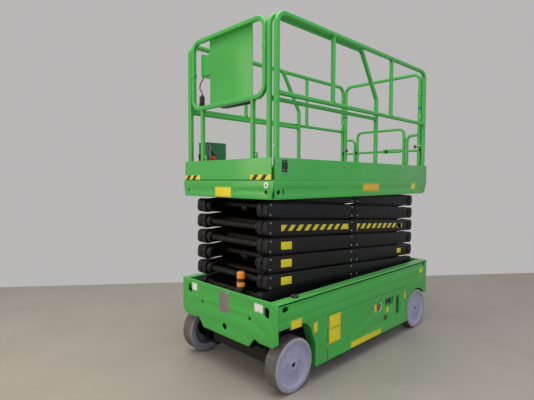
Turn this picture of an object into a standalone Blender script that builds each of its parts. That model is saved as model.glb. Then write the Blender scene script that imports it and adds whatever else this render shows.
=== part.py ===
"""Electric slab scissor lift with six levels of arms, parked with its platform down.

Metres, +Z up. +X is the machine's left, -Y its front. The origin is on the floor under the middle
of the footprint. Run with: blender --background --python part.py
"""
import math

import bmesh
import bpy
from mathutils import Matrix, Vector

for old_object in list(bpy.data.objects):
    bpy.data.objects.remove(old_object, do_unlink=True)

# ---------------------------------------------------------------- driving dimensions
HALF_WIDTH = 0.595          # chassis side plates and tyres
CHASSIS_FRONT = -1.190
CHASSIS_REAR = 1.165
CHASSIS_TOP = 0.698
SKIRT_LOW = 0.120           # lower edge of the side plates and doors
SKIN = 0.012                # thickness of the chassis plates
DECK_TOP = 0.590            # chassis deck that the folded arms lie above
GAP = 0.0003                # between pieces that touch

WHEEL_RADIUS = 0.203
TYRE_WIDTH = 0.127
TYRE_OUT = 0.592            # outer face of the tyres
FRONT_AXLE_Y = -1.000
REAR_AXLE_Y = 0.950
KINGPIN_X = 0.440

DOOR_FRONT = -0.607
DOOR_REAR = 0.710
DOOR_TOP = 0.485
DOOR_HINGE = (0.592, -0.611)

LEVELS = 6
PIN_REAR = 1.065            # fixed end of the scissor
PIN_FRONT = -1.085          # sliding end
PIN_LOW = 0.672             # height of the lowest row of pins
LEVEL_PITCH = 0.1354
ARM_HALF_DEPTH = 0.058
OUTER_ARM = (0.385, 0.435)  # from the middle plane to the inner and outer face
INNER_ARM = (0.325, 0.377)
PIN_RADIUS = 0.025
PIN_CLEARANCE = 0.0035
CROSS_TUBE_AT = 0.93        # along an inner arm from its middle

PLATFORM_HALF = 0.558
PLATFORM_END = 1.200
FRAME_LOW = 1.430
FLOOR_LOW = 1.5545
TOE_TOP = 1.727
RAIL_RADIUS = 0.019
RAIL_TOP = 2.740            # centre line of the top rails
RAIL_MID = 2.184
SLIDE_RAIL_MID = 2.148
HOOP_LOW = 2.170            # lower rail of the front hoop
RAIL_X = 0.530
SLIDE_RAIL_X = 0.483
SLIDE_DECK_LOW = 1.588

PARTS = bpy.data.collections.new("scissor_lift")
CUTTERS = bpy.data.collections.new("cutters")
for new_collection in (PARTS, CUTTERS):
    bpy.context.scene.collection.children.link(new_collection)


# ---------------------------------------------------------------- finishes
def finish(name, colour, roughness, metallic=0.0):
    made = bpy.data.materials.new(name)
    made.use_nodes = True
    shader = made.node_tree.nodes["Principled BSDF"]
    shader.inputs["Base Color"].default_value = (*colour, 1.0)
    shader.inputs["Roughness"].default_value = roughness
    shader.inputs["Metallic"].default_value = metallic
    return made


GREEN_PAINT = finish("green_paint", (0.06, 0.36, 0.07), 0.40)
DARK_GREEN = finish("dark_green_paint", (0.03, 0.16, 0.06), 0.45)
BLACK_PAINT = finish("black_paint", (0.012, 0.012, 0.013), 0.45)
GREY_STEEL = finish("grey_steel", (0.22, 0.23, 0.25), 0.40, 0.9)
ROD_CHROME = finish("rod_chrome", (0.75, 0.76, 0.78), 0.15, 1.0)
GREY_RUBBER = finish("non_marking_rubber", (0.27, 0.27, 0.32), 0.75)
RIM_GREY = finish("rim_grey", (0.36, 0.37, 0.46), 0.50)
AMBER = finish("amber_lens", (0.80, 0.22, 0.02), 0.20)
BATTERY_CASE = finish("battery_case", (0.05, 0.05, 0.06), 0.60)
BLACK_PLASTIC = finish("black_plastic", (0.015, 0.015, 0.015), 0.55)


# ---------------------------------------------------------------- shaping tools
def solid_from_bmesh(bm):
    mesh = bpy.data.meshes.new("solid")
    bmesh.ops.recalc_face_normals(bm, faces=bm.faces)
    bm.to_mesh(mesh)
    bm.free()
    made = bpy.data.objects.new("solid", mesh)
    CUTTERS.objects.link(made)
    return made


def block(low, high):
    """A box between two opposite corners."""
    size = Vector(high) - Vector(low)
    place = Matrix.Translation((Vector(low) + Vector(high)) / 2)
    bm = bmesh.new()
    bmesh.ops.create_cube(bm, size=1.0, matrix=place @ Matrix.Diagonal((*size, 1.0)))
    return solid_from_bmesh(bm)


def bar(start, end, radius, sides=10):
    """A round bar between two points."""
    start = Vector(start)
    run = Vector(end) - start
    turn = run.to_track_quat("Z", "Y").to_matrix().to_4x4()
    bm = bmesh.new()
    bmesh.ops.create_cone(
        bm, cap_ends=True, segments=sides, radius1=radius, radius2=radius,
        depth=run.length, matrix=Matrix.Translation(start + run / 2) @ turn,
    )
    return solid_from_bmesh(bm)


def mesh_from_curve(curve_object):
    """Turns a curve into a mesh object with its caps welded, and removes the curve."""
    bpy.context.view_layer.update()
    graph = bpy.context.evaluated_depsgraph_get()
    mesh = bpy.data.meshes.new_from_object(curve_object.evaluated_get(graph))
    place = curve_object.matrix_world.copy()
    bpy.data.objects.remove(curve_object, do_unlink=True)
    bm = bmesh.new()
    bm.from_mesh(mesh)
    bmesh.ops.remove_doubles(bm, verts=bm.verts, dist=0.00001)
    bmesh.ops.dissolve_limit(bm, angle_limit=0.001, verts=bm.verts, edges=bm.edges)
    made = solid_from_bmesh(bm)
    made.matrix_world = place
    bpy.context.view_layer.update()
    made.data.transform(place)
    made.matrix_world = Matrix.Identity(4)
    return made


OUTLINE_PLANES = {
    "X": Matrix(((0, 0, 1, 0), (1, 0, 0, 0), (0, 1, 0, 0), (0, 0, 0, 1))),
    "Y": Matrix(((1, 0, 0, 0), (0, 0, -1, 0), (0, 1, 0, 0), (0, 0, 0, 1))),
    "Z": Matrix.Identity(4),
}


def plate(outline, across, low, high):
    """A flat plate: its outline lies across an axis, and it reaches from low to high along it.

    The outline's two coordinates are Y and Z across X, X and Z across Y, X and Y across Z.
    """
    curve = bpy.data.curves.new("outline", "CURVE")
    curve.dimensions = "2D"
    curve.fill_mode = "BOTH"
    curve.extrude = (high - low) / 2
    curve.render_resolution_u = 0
    spline = curve.splines.new("POLY")
    spline.points.add(len(outline) - 1)
    for point, (u, v) in zip(spline.points, outline):
        point.co = (u, v, 0.0, 1.0)
    spline.use_cyclic_u = True
    made = bpy.data.objects.new("outline", curve)
    CUTTERS.objects.link(made)
    middle = Vector((0, 0, 0))
    middle["XYZ".index(across)] = (low + high) / 2
    made.matrix_world = Matrix.Translation(middle) @ OUTLINE_PLANES[across]
    return mesh_from_curve(made)


def arc(centre, radius, start_deg, end_deg, steps):
    """Points along an arc, both ends included."""
    points = []
    for step in range(steps + 1):
        angle = math.radians(start_deg + (end_deg - start_deg) * step / steps)
        points.append((centre[0] + radius * math.cos(angle), centre[1] + radius * math.sin(angle)))
    return points


def rounded_path(corners, bend, steps=4, closed=False):
    """The corners of a bent tube, each turned into an arc of the bend radius."""
    corners = [Vector(corner) for corner in corners]
    path = []
    for index, corner in enumerate(corners):
        if not closed and index in (0, len(corners) - 1):
            path.append(corner)
            continue
        back = (corners[index - 1] - corner).normalized()
        ahead = (corners[(index + 1) % len(corners)] - corner).normalized()
        half = back.angle(ahead) / 2
        reach = bend / math.tan(half)
        middle = corner + (back + ahead).normalized() * (bend / math.sin(half))
        first = corner + back * reach - middle
        last = corner + ahead * reach - middle
        sweep = first.angle(last)
        for step in range(steps + 1):
            part = step / steps
            blend = first * math.sin((1 - part) * sweep) + last * math.sin(part * sweep)
            path.append(middle + blend / math.sin(sweep))
    return path


def tube(corners, radius, bend=0.05, closed=False, resolution=2, steps=3):
    """A bent round tube along its corner points."""
    curve = bpy.data.curves.new("tube", "CURVE")
    curve.dimensions = "3D"
    curve.bevel_depth = radius
    curve.bevel_resolution = resolution
    curve.use_fill_caps = not closed
    curve.render_resolution_u = 0
    path = rounded_path(corners, bend, steps, closed)
    spline = curve.splines.new("POLY")
    spline.points.add(len(path) - 1)
    for point, place in zip(spline.points, path):
        point.co = (*place, 1.0)
    spline.use_cyclic_u = closed
    made = bpy.data.objects.new("tube", curve)
    CUTTERS.objects.link(made)
    return mesh_from_curve(made)


def turned(profile, sides, centre, closed=True):
    """A ring turned about the X direction. The profile holds (radius, x) pairs and runs down in x
    along its outer side."""
    mesh = bpy.data.meshes.new("profile")
    count = len(profile)
    edges = [(i, (i + 1) % count) for i in range(count if closed else count - 1)]
    mesh.from_pydata([(radius, 0.0, x) for radius, x in profile], edges, [])
    made = bpy.data.objects.new("profile", mesh)
    CUTTERS.objects.link(made)
    screw = made.modifiers.new("turn", "SCREW")
    screw.steps = sides
    screw.render_steps = sides
    screw.use_merge_vertices = True
    screw.merge_threshold = 0.00001
    bake(made)
    made.data.transform(Matrix.Translation(centre) @ Matrix.Rotation(math.pi / 2, 4, "Y"))
    return made


def bake(target):
    """Replaces an object's mesh by what its modifiers make of it."""
    bpy.context.view_layer.update()
    graph = bpy.context.evaluated_depsgraph_get()
    mesh = bpy.data.meshes.new_from_object(target.evaluated_get(graph))
    target.modifiers.clear()
    target.data = mesh


def combine(base, others, operation):
    for other in others:
        change = base.modifiers.new(operation.lower(), "BOOLEAN")
        change.operation = operation
        change.solver = "EXACT"
        change.object = other
    bake(base)
    for other in others:
        bpy.data.objects.remove(other, do_unlink=True)
    return base


def welded(base, *others):
    return combine(base, others, "UNION")


def cut(base, *others):
    return combine(base, others, "DIFFERENCE")


def mirrored(solid):
    """The same shape on the other side of the middle plane."""
    made = bpy.data.objects.new("mirrored", solid.data.copy())
    CUTTERS.objects.link(made)
    made.data.transform(Matrix.Diagonal((-1, 1, 1, 1)))
    made.data.flip_normals()
    return made


def part(name, solid, paint, origin=(0, 0, 0)):
    """Names a finished solid, paints it and puts its origin on its joint."""
    CUTTERS.objects.unlink(solid)
    PARTS.objects.link(solid)
    solid.name = name
    solid.data.name = name
    solid.data.materials.clear()
    solid.data.materials.append(paint)
    solid.data.transform(Matrix.Translation(-Vector(origin)))
    solid.location = origin
    solid.data.shade_smooth()
    solid.data.set_sharp_from_angle(angle=math.radians(35))
    return solid


def both_sides(make, left_name, right_name, paint, origin=(0, 0, 0)):
    """The left piece and its mirror image on the right."""
    left = make()
    right = mirrored(left)
    part(left_name, left, paint, origin)
    part(right_name, right, paint, (-origin[0], origin[1], origin[2]))


# ---------------------------------------------------------------- chassis
ARCH_TOP = 0.505
ARCH_REAR = -0.765
REAR_ARCH_RADIUS = 0.218
SIDE_INNER = HALF_WIDTH - SKIN
END_WALL_FRONT = -0.665
END_WALL_REAR = 0.722


def chassis_deck():
    """Deck under the folded arms, with the slide track in front and the pivot brackets behind."""
    front = CHASSIS_FRONT + SKIN + GAP
    rear = CHASSIS_REAR - SKIN - GAP
    side = SIDE_INNER - GAP
    deck = block((-side, front, DECK_TOP - SKIN), (side, rear, DECK_TOP))
    pieces = []
    for sign in (-1, 1):
        track = sorted((sign * 0.262, sign * 0.316))
        pieces.append(block((track[0], -1.160, DECK_TOP - 0.004), (track[1], 0.110, 0.632)))
        lip = sorted((sign * 0.252, sign * 0.263))
        pieces.append(block((lip[0], -1.160, DECK_TOP - 0.004), (lip[1], 0.110, 0.640)))
        ear = sorted((sign * 0.336, sign * 0.366))
        outline = [(0.985, DECK_TOP - 0.006), (1.145, DECK_TOP - 0.006), (1.110, 0.690)]
        outline += arc((PIN_REAR, PIN_LOW), 0.045, 20, 160, 4)
        outline += [(1.020, 0.690)]
        pieces.append(plate(outline, "X", *ear))
    deck = welded(deck, *pieces)
    bore = PIN_RADIUS + PIN_CLEARANCE
    return cut(deck, bar((-0.40, PIN_REAR, PIN_LOW), (0.40, PIN_REAR, PIN_LOW), bore))


def chassis_frame():
    """Two long webs under the deck, with a floor and an end wall before and behind the trays."""
    front = CHASSIS_FRONT + SKIN + GAP
    rear = CHASSIS_REAR - SKIN - GAP
    side = SIDE_INNER - GAP
    top = DECK_TOP - SKIN - GAP
    web_in, web_out = 0.290, 0.302
    frame = block((-web_out, END_WALL_FRONT + 0.010, 0.125), (web_out, END_WALL_REAR, 0.137))
    pieces = [
        block((-side, END_WALL_FRONT, 0.125), (side, END_WALL_FRONT + SKIN, top - 0.001)),
        block((-side, END_WALL_REAR, 0.250), (side, END_WALL_REAR + SKIN, top - 0.001)),
        block((-web_out, END_WALL_REAR, 0.125), (web_out, END_WALL_REAR + SKIN, 0.300)),
    ]
    for sign in (-1, 1):
        web = sorted((sign * web_in, sign * web_out))
        pieces.append(block((web[0], front, 0.300), (web[1], rear, top)))
        pieces.append(block((web[0], END_WALL_FRONT + 0.005, 0.130),
                            (web[1], END_WALL_REAR + 0.006, 0.350)))
    frame = welded(frame, *pieces)
    return cut(frame,
               block((-0.220, END_WALL_FRONT - 0.04, 0.240), (0.220, END_WALL_FRONT + 0.06, 0.500)),
               block((-0.220, END_WALL_REAR - 0.02, 0.340), (0.220, END_WALL_REAR + 0.04, 0.500)))


def front_plate():
    """Front bumper plate with a low skirt in the middle, holes and two tie-down slots."""
    half = HALF_WIDTH
    right = [(0.0, 0.312), (0.288, 0.312), (0.352, 0.3865), (0.376, 0.3850), (0.396, 0.372)]
    right += [(0.540, 0.372), (half, 0.410), (half, CHASSIS_TOP)]
    left = [(-x, z) for x, z in reversed(right[1:])]
    body = plate(right + left, "Y", CHASSIS_FRONT, CHASSIS_FRONT + SKIN)
    near, far = CHASSIS_FRONT - 0.02, CHASSIS_FRONT + 0.04
    holes = [bar((0.0, near, 0.390), (0.0, far, 0.390), 0.026, 16)]
    for sign in (-1, 1):
        holes.append(bar((sign * 0.300, near, 0.527), (sign * 0.300, far, 0.527), 0.012, 10))
        slot = plate(
            arc((sign * 0.485, 0.628), 0.026, 0, 180, 5)
            + arc((sign * 0.485, 0.600), 0.026, 180, 360, 5),
            "Y", near, far,
        )
        holes.append(slot)
    return cut(body, *holes)


def rear_plate():
    """Rear end plate with the opening for the ladder's lowest step."""
    half = HALF_WIDTH
    outline = [(-half, 0.335), (half, 0.335), (half, CHASSIS_TOP), (-half, CHASSIS_TOP)]
    body = plate(outline, "Y", CHASSIS_REAR - SKIN, CHASSIS_REAR)
    lower = block((-0.500, CHASSIS_REAR - SKIN, 0.215), (0.500, CHASSIS_REAR - 0.001, 0.340))
    body = welded(body, lower)
    near, far = CHASSIS_REAR - 0.04, CHASSIS_REAR + 0.02
    return cut(body, block((-0.150, near, 0.265), (0.150, far, 0.325)),
               bar((0.380, near, 0.590), (0.380, far, 0.590), 0.022, 12),
               bar((-0.380, near, 0.590), (-0.380, far, 0.590), 0.022, 12))


def side_plate():
    """Side skin with its open front arch, round rear arch, door opening and top flange."""
    front = CHASSIS_FRONT + SKIN + GAP
    rear = CHASSIS_REAR - SKIN - GAP
    outline = [(front, ARCH_TOP)]
    outline += arc((-0.945, 0.360), 0.145, 90, 12, 5)
    outline += [(ARCH_REAR, 0.300), (ARCH_REAR, SKIRT_LOW)]
    outline += [(-0.615, SKIRT_LOW), (-0.615, DOOR_TOP + 0.004)]
    outline += [(DOOR_REAR + 0.004, DOOR_TOP + 0.004), (DOOR_REAR + 0.004, SKIRT_LOW)]
    foot = math.sqrt(REAR_ARCH_RADIUS ** 2 - (WHEEL_RADIUS - SKIRT_LOW) ** 2)
    first = 180 + math.degrees(math.atan2(WHEEL_RADIUS - SKIRT_LOW, foot))
    outline += arc((REAR_AXLE_Y, WHEEL_RADIUS), REAR_ARCH_RADIUS, first, 42, 12)
    outline += [(rear, 0.337), (rear, CHASSIS_TOP), (front, CHASSIS_TOP)]
    skin = plate(outline, "X", SIDE_INNER, HALF_WIDTH)
    flange = block((0.515, front, CHASSIS_TOP - SKIN), (SIDE_INNER + 0.004, rear, CHASSIS_TOP - GAP))
    lip = block((0.515, front, 0.600), (0.524, rear, CHASSIS_TOP - 0.004))
    side = welded(skin, flange, lip)
    eye = plate(
        arc((-1.102, 0.646), 0.020, -90, 90, 5) + arc((-1.122, 0.646), 0.020, 90, 270, 5),
        "X", 0.55, 0.62,
    )
    return cut(side, eye, bar((0.55, 1.095, 0.655), (0.62, 1.095, 0.655), 0.020, 10))


def boarding_ladder():
    """Upright ladder at the rear end, behind the arms."""
    depth = (CHASSIS_REAR + 0.001, 1.197)
    left = block((0.185, depth[0], 0.360), (0.210, depth[1], 1.395))
    right = block((-0.210, depth[0], 0.360), (-0.185, depth[1], 1.395))
    steps = []
    for index in range(5):
        height = 0.440 + 0.215 * index
        steps.append(block((-0.190, depth[0] + 0.001, height), (0.190, depth[1] - 0.001, height + 0.025)))
    return welded(left, right, *steps)


def beacon():
    """Amber beacon on its bracket, on the front plate's edge."""
    place = Vector((0.155, -1.150, 0.0))
    lens = bar(place + Vector((0, 0, 0.742)), place + Vector((0, 0, 0.860)), 0.031, 16)
    base = bar(place + Vector((0, 0, 0.722)), place + Vector((0, 0, 0.746)), 0.034, 16)
    foot = block((0.120, -1.183, CHASSIS_TOP + GAP), (0.190, -1.122, 0.726))
    return welded(foot, base, lens)


def swing_tray():
    """Component tray with its outer door, hung on a hinge at the door's front edge."""
    door = block((SIDE_INNER, DOOR_FRONT - 0.001, SKIRT_LOW), (HALF_WIDTH, DOOR_REAR, DOOR_TOP))
    floor = block((0.335, -0.575, 0.145), (SIDE_INNER + 0.004, 0.655, 0.155))
    back = block((0.335, -0.575, 0.150), (0.343, 0.655, 0.430))
    ends = [
        block((0.336, -0.575, 0.150), (SIDE_INNER + 0.004, -0.567, 0.430)),
        block((0.336, 0.647, 0.150), (SIDE_INNER + 0.004, 0.655, 0.430)),
    ]
    knuckles = []
    for height in (0.245, 0.424):
        knuckles.append(bar((*DOOR_HINGE, height - 0.025), (*DOOR_HINGE, height + 0.025), 0.0034, 8))
    recess = block((0.5885, 0.285, 0.362), (0.62, 0.450, 0.440))
    slot = block((0.5885, 0.500, 0.235), (0.62, 0.560, 0.430))
    tray = welded(door, floor, back, *ends)
    tray = cut(tray, recess, slot)
    return welded(tray, *knuckles)


both_sides(side_plate, "left_side_plate", "right_side_plate", GREEN_PAINT)
part("chassis_deck", chassis_deck(), BLACK_PAINT)
part("chassis_frame", chassis_frame(), BLACK_PAINT)
part("front_plate", front_plate(), GREEN_PAINT)
part("rear_plate", rear_plate(), GREEN_PAINT)
part("boarding_ladder", boarding_ladder(), GREEN_PAINT)
part("beacon", beacon(), AMBER)
both_sides(swing_tray, "left_tray", "right_tray", GREEN_PAINT, (*DOOR_HINGE, 0.300))
part("battery_pack", block((0.350, -0.545, 0.1553), (0.570, 0.560, 0.405)), BATTERY_CASE)
part("pump_unit", block((-0.570, -0.480, 0.1553), (-0.350, 0.300, 0.405)), GREY_STEEL)


# ---------------------------------------------------------------- wheels and axles
HUB_Z = WHEEL_RADIUS
RIM_RADIUS = 0.150
DISC_X = 0.545
WHEEL_SIDES = 20
BEAM_X = 0.335              # half length of the front axle's beam
ROD_END_X = KINGPIN_X - 0.077


def tyre(y):
    """Solid tyre with rounded shoulders, about its wheel's centre plane."""
    half = TYRE_WIDTH / 2
    edge = 0.014
    profile = [(RIM_RADIUS + GAP, half), (WHEEL_RADIUS - edge, half)]
    profile += [(WHEEL_RADIUS - edge * 0.3, half - edge * 0.3), (WHEEL_RADIUS, half - edge)]
    profile += [(radius, -x) for radius, x in reversed(profile)]
    return turned(profile, WHEEL_SIDES, (TYRE_OUT - half, y, HUB_Z))


def rim(y):
    """Dished steel rim: a band under the tyre and a disc near its outer edge."""
    middle = TYRE_OUT - TYRE_WIDTH / 2
    band_in = RIM_RADIUS - 0.010
    out = TYRE_OUT - 0.010 - middle
    disc = DISC_X - middle
    profile = [(0.034, disc + 0.012), (0.100, disc + 0.012), (0.130, disc + 0.022), (band_in, out)]
    profile += [(RIM_RADIUS, out), (RIM_RADIUS, -out), (band_in, -out), (band_in, disc)]
    profile += [(0.034, disc)]
    return turned(profile, WHEEL_SIDES, (middle, y, HUB_Z))


def hub(y, inner):
    """Drive drum with its spindle, along X at one wheel."""
    drum = bar((inner, y, HUB_Z), (0.530, y, HUB_Z), 0.072, 16)
    spindle = bar((0.520, y, HUB_Z), (0.566, y, HUB_Z), 0.030, 12)
    return welded(drum, spindle)


def steer_axle():
    """Fixed front axle beam with a forked ear at each end and the steering cylinder's barrel."""
    y = FRONT_AXLE_Y
    beam = block((-BEAM_X, y - 0.045, 0.150), (BEAM_X, y + 0.045, 0.256))
    posts = [block((-0.260, y - 0.040, 0.250), (0.260, y + 0.040, 0.2995))]
    ears = []
    for sign in (-1, 1):
        span = sorted((sign * 0.300, sign * (KINGPIN_X + 0.032)))
        for low, high in ((0.108, 0.130), (0.276, 0.298)):
            ears.append(block((span[0], y - 0.035, low), (span[1], y + 0.035, high)))
        web = sorted((sign * 0.300, sign * 0.320))
        ears.append(block((web[0], y - 0.035, 0.109), (web[1], y + 0.035, 0.297)))
    axle = welded(beam, *posts, *ears)
    bores = []
    for sign in (-1, 1):
        bores.append(bar((sign * KINGPIN_X, y, 0.09), (sign * KINGPIN_X, y, 0.31), 0.0235))
    axle = cut(axle, *bores)
    barrel = bar((-0.150, y + 0.095, 0.203), (0.150, y + 0.095, 0.203), 0.032)
    bracket = block((-0.060, y + 0.040, 0.170), (0.060, y + 0.100, 0.236))
    axle = welded(axle, barrel, bracket)
    return cut(axle, bar((-0.2, y + 0.095, 0.203), (0.2, y + 0.095, 0.203), 0.0155))


def steer_rod():
    """Rod through the steering cylinder, ending beside the two knuckle arms."""
    y = FRONT_AXLE_Y + 0.095
    return welded(
        bar((-ROD_END_X, y, HUB_Z), (ROD_END_X, y, HUB_Z), 0.012),
        bar((-ROD_END_X, y, HUB_Z - 0.013), (-ROD_END_X, y, HUB_Z + 0.013), 0.022),
        bar((ROD_END_X, y, HUB_Z - 0.013), (ROD_END_X, y, HUB_Z + 0.013), 0.022),
    )


def knuckle():
    """Steering knuckle: kingpin, body, wheel motor drum and steering arm."""
    y = FRONT_AXLE_Y
    body = block((KINGPIN_X - 0.030, y - 0.045, 0.136), (KINGPIN_X + 0.042, y + 0.045, 0.270))
    kingpin = bar((KINGPIN_X, y, 0.110), (KINGPIN_X, y, 0.296), 0.020)
    arm = block((KINGPIN_X - 0.022, y + 0.040, 0.150), (KINGPIN_X + 0.014, y + 0.125, 0.170))
    return welded(body, kingpin, arm, hub(y, KINGPIN_X + 0.035))


def rear_axle():
    """Fixed rear axle beam with a brake drum at each end."""
    y = REAR_AXLE_Y
    beam = block((-0.440, y - 0.045, 0.158), (0.440, y + 0.045, 0.248))
    posts = [
        block((-0.280, y - 0.040, 0.240), (-0.180, y + 0.040, DECK_TOP - SKIN - GAP)),
        block((0.180, y - 0.040, 0.240), (0.280, y + 0.040, DECK_TOP - SKIN - GAP)),
    ]
    left = hub(y, 0.430)
    right = mirrored(left)
    return welded(beam, left, right, *posts)


part("steer_axle", steer_axle(), BLACK_PAINT)
part("rear_axle", rear_axle(), BLACK_PAINT)
part("steer_rod", steer_rod(), ROD_CHROME)
both_sides(knuckle, "left_knuckle", "right_knuckle", BLACK_PAINT, (KINGPIN_X, FRONT_AXLE_Y, HUB_Z))
for place, wheel_y in (("front", FRONT_AXLE_Y), ("rear", REAR_AXLE_Y)):
    centre = (TYRE_OUT - TYRE_WIDTH / 2, wheel_y, HUB_Z)
    both_sides(lambda: tyre(wheel_y), f"left_{place}_tyre", f"right_{place}_tyre", GREY_RUBBER, centre)
    both_sides(lambda: rim(wheel_y), f"left_{place}_rim", f"right_{place}_rim", RIM_GREY, centre)


# ---------------------------------------------------------------- pothole guards
GUARD_HINGE = (0.490, 0.106)


def pothole_guard():
    """Long bar under the side, which turns down about its inner edge."""
    leaf = block((GUARD_HINGE[0], -0.560, 0.101), (0.580, 0.690, 0.109))
    turn = bar((GUARD_HINGE[0], -0.640, GUARD_HINGE[1]), (GUARD_HINGE[0], 0.715, GUARD_HINGE[1]), 0.009, 10)
    return welded(leaf, turn)


both_sides(pothole_guard, "left_pothole_guard", "right_pothole_guard", BLACK_PAINT,
           (GUARD_HINGE[0], 0.0, GUARD_HINGE[1]))


# ---------------------------------------------------------------- scissor arms
ARM_SPAN = PIN_REAR - PIN_FRONT
ARM_MIDDLE = (PIN_REAR + PIN_FRONT) / 2
ARM_LENGTH = math.hypot(ARM_SPAN, LEVEL_PITCH)
BORE = PIN_RADIUS + PIN_CLEARANCE
STUB_RADIUS = 0.030
LOW_ROLLER = (0.270, 0.314)         # on the lowest inner arms, above the chassis track
TOP_ROLLER = (0.456, 0.510)         # on the highest outer arms, in the platform track
OPEN_FRONTS = (2, 5)                # levels whose front tube would be in a lift rod's way


def row_height(row):
    """Height of a row of pins, from 0 at the chassis to LEVELS at the platform."""
    return PIN_LOW + LEVEL_PITCH * row


def arm_outline(low, high):
    """A long box arm with rounded ends, from its low pin to its high pin."""
    tilt = math.degrees(math.atan2(high[1] - low[1], high[0] - low[0]))
    return (arc(low, ARM_HALF_DEPTH, tilt + 90, tilt + 270, 4)
            + arc(high, ARM_HALF_DEPTH, tilt - 90, tilt + 90, 4))


def pin_bar(reach, y, z, radius=PIN_RADIUS):
    """A full-width bar across the machine."""
    return bar((-reach, y, z), (reach, y, z), radius, 8)


def outer_frame(level):
    """Two outer arms of one level, joined by pin tubes, with a roller on the highest level."""
    low = (PIN_REAR, row_height(level - 1))
    high = (PIN_FRONT, row_height(level))
    outline = arm_outline(low, high)
    left = plate(outline, "X", *OUTER_ARM)
    right = plate(outline, "X", -OUTER_ARM[1], -OUTER_ARM[0])
    reach = OUTER_ARM[1] - 0.006
    pieces = [right, pin_bar(reach, *low)]
    if level in OPEN_FRONTS:
        for sign in (-1, 1):
            pieces.append(bar((sign * 0.290, *high), (sign * reach, *high), PIN_RADIUS, 8))
    else:
        pieces.append(pin_bar(TOP_ROLLER[1] - 0.004 if level == LEVELS else reach, *high))
    if level == LEVELS:
        for sign in (-1, 1):
            pieces.append(bar((sign * TOP_ROLLER[0], *high), (sign * TOP_ROLLER[1], *high), 0.032, 16))
    frame = welded(left, *pieces)
    middle = (ARM_MIDDLE, (low[1] + high[1]) / 2)
    return cut(frame, pin_bar(OUTER_ARM[1] + 0.02, *middle, STUB_RADIUS + PIN_CLEARANCE))


def inner_frame(level):
    """Two inner arms of one level, joined by cross tubes, with a stub pin at the middle."""
    low = (PIN_FRONT, row_height(level - 1))
    high = (PIN_REAR, row_height(level))
    middle = (ARM_MIDDLE, (low[1] + high[1]) / 2)
    outline = arm_outline(low, high)
    left = plate(outline, "X", *INNER_ARM)
    right = plate(outline, "X", -INNER_ARM[1], -INNER_ARM[0])
    reach = INNER_ARM[1] - 0.006
    pieces = [right]
    for sign in (-1, 1):
        start = (sign * (INNER_ARM[1] - 0.010), *middle)
        pieces.append(bar(start, (sign * (OUTER_ARM[1] - 0.001), *middle), STUB_RADIUS, 8))
    ahead = Vector((ARM_SPAN, LEVEL_PITCH)) / ARM_LENGTH * CROSS_TUBE_AT
    pieces.append(pin_bar(reach, middle[0] + ahead.x, middle[1] + ahead.y))
    if level > 1:
        pieces.append(pin_bar(reach, middle[0] - ahead.x, middle[1] - ahead.y))
    else:
        pieces.append(pin_bar(reach, *low))
        for sign in (-1, 1):
            pieces.append(bar((sign * LOW_ROLLER[0], *low), (sign * LOW_ROLLER[1], *low), 0.034, 16))
    if level == LEVELS:
        pieces.append(pin_bar(reach, *high))
    frame = welded(left, *pieces)
    bores = []
    if level > 1:
        bores.append(pin_bar(0.40, *low, BORE))
    if level < LEVELS:
        bores.append(pin_bar(0.40, *high, BORE))
    if not bores:
        return frame
    return cut(frame, *bores)


for level in range(1, LEVELS + 1):
    odd = level % 2 == 1
    rear_low = (0.0, PIN_REAR, row_height(level - 1))
    front_low = (0.0, PIN_FRONT, row_height(level - 1))
    centre = (0.0, ARM_MIDDLE, row_height(level - 0.5))
    part(f"outer_arms_{level}", outer_frame(level), BLACK_PAINT, rear_low if odd else centre)
    part(f"inner_arms_{level}", inner_frame(level), BLACK_PAINT, centre if odd else front_low)


# ---------------------------------------------------------------- lift cylinders
BARREL_RADIUS = 0.044
ROD_RADIUS = 0.026
EYE_HALF = 0.034


def cylinder_ends(level):
    """The cross tubes that a cylinder works between: low at the rear, high at the front."""
    ahead = Vector((ARM_SPAN, LEVEL_PITCH)) / ARM_LENGTH * CROSS_TUBE_AT
    low_middle = row_height(level - 0.5)
    high_middle = row_height(level + 1.5)
    base = Vector((0.0, ARM_MIDDLE + ahead.x, low_middle + ahead.y))
    head = Vector((0.0, ARM_MIDDLE - ahead.x, high_middle - ahead.y))
    return base, head


def lift_barrel(level):
    """Barrel with its eye on the lower cross tube."""
    base, head = cylinder_ends(level)
    along = (head - base).normalized()
    tube_body = bar(base + along * 0.060, base + along * 1.260, BARREL_RADIUS, 14)
    gland = bar(base + along * 1.240, base + along * 1.300, BARREL_RADIUS + 0.006, 14)
    eye = bar(base - Vector((EYE_HALF, 0, 0)), base + Vector((EYE_HALF, 0, 0)), 0.043, 14)
    neck = bar(base + along * 0.020, base + along * 0.080, 0.030, 14)
    barrel = welded(tube_body, gland, eye, neck)
    across = Vector((EYE_HALF + 0.02, 0, 0))
    return cut(barrel, bar(base - across, base + across, PIN_RADIUS + PIN_CLEARANCE),
               bar(base + along * 0.300, base + along * 1.400, ROD_RADIUS + 0.0015, 14))


def lift_rod(level):
    """Rod with an open saddle under the upper cross tube."""
    base, head = cylinder_ends(level)
    along = (head - base).normalized()
    reach = (head - base).length
    shaft = bar(base + along * 0.340, base + along * (reach - 0.070), ROD_RADIUS, 14)
    under = head - Vector((0, 0, 0.012))
    saddle = bar(under - Vector((EYE_HALF, 0, 0)), under + Vector((EYE_HALF, 0, 0)), 0.044, 14)
    neck = bar(base + along * (reach - 0.080), base + along * (reach - 0.020) - Vector((0, 0, 0.008)), 0.022)
    rod = welded(shaft, saddle, neck)
    across = Vector((EYE_HALF + 0.02, 0, 0))
    room = block(head + Vector((-0.06, -0.060, -0.010)), head + Vector((0.06, 0.060, 0.080)))
    return cut(rod, bar(head - across, head + across, PIN_RADIUS + PIN_CLEARANCE), room)


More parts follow.
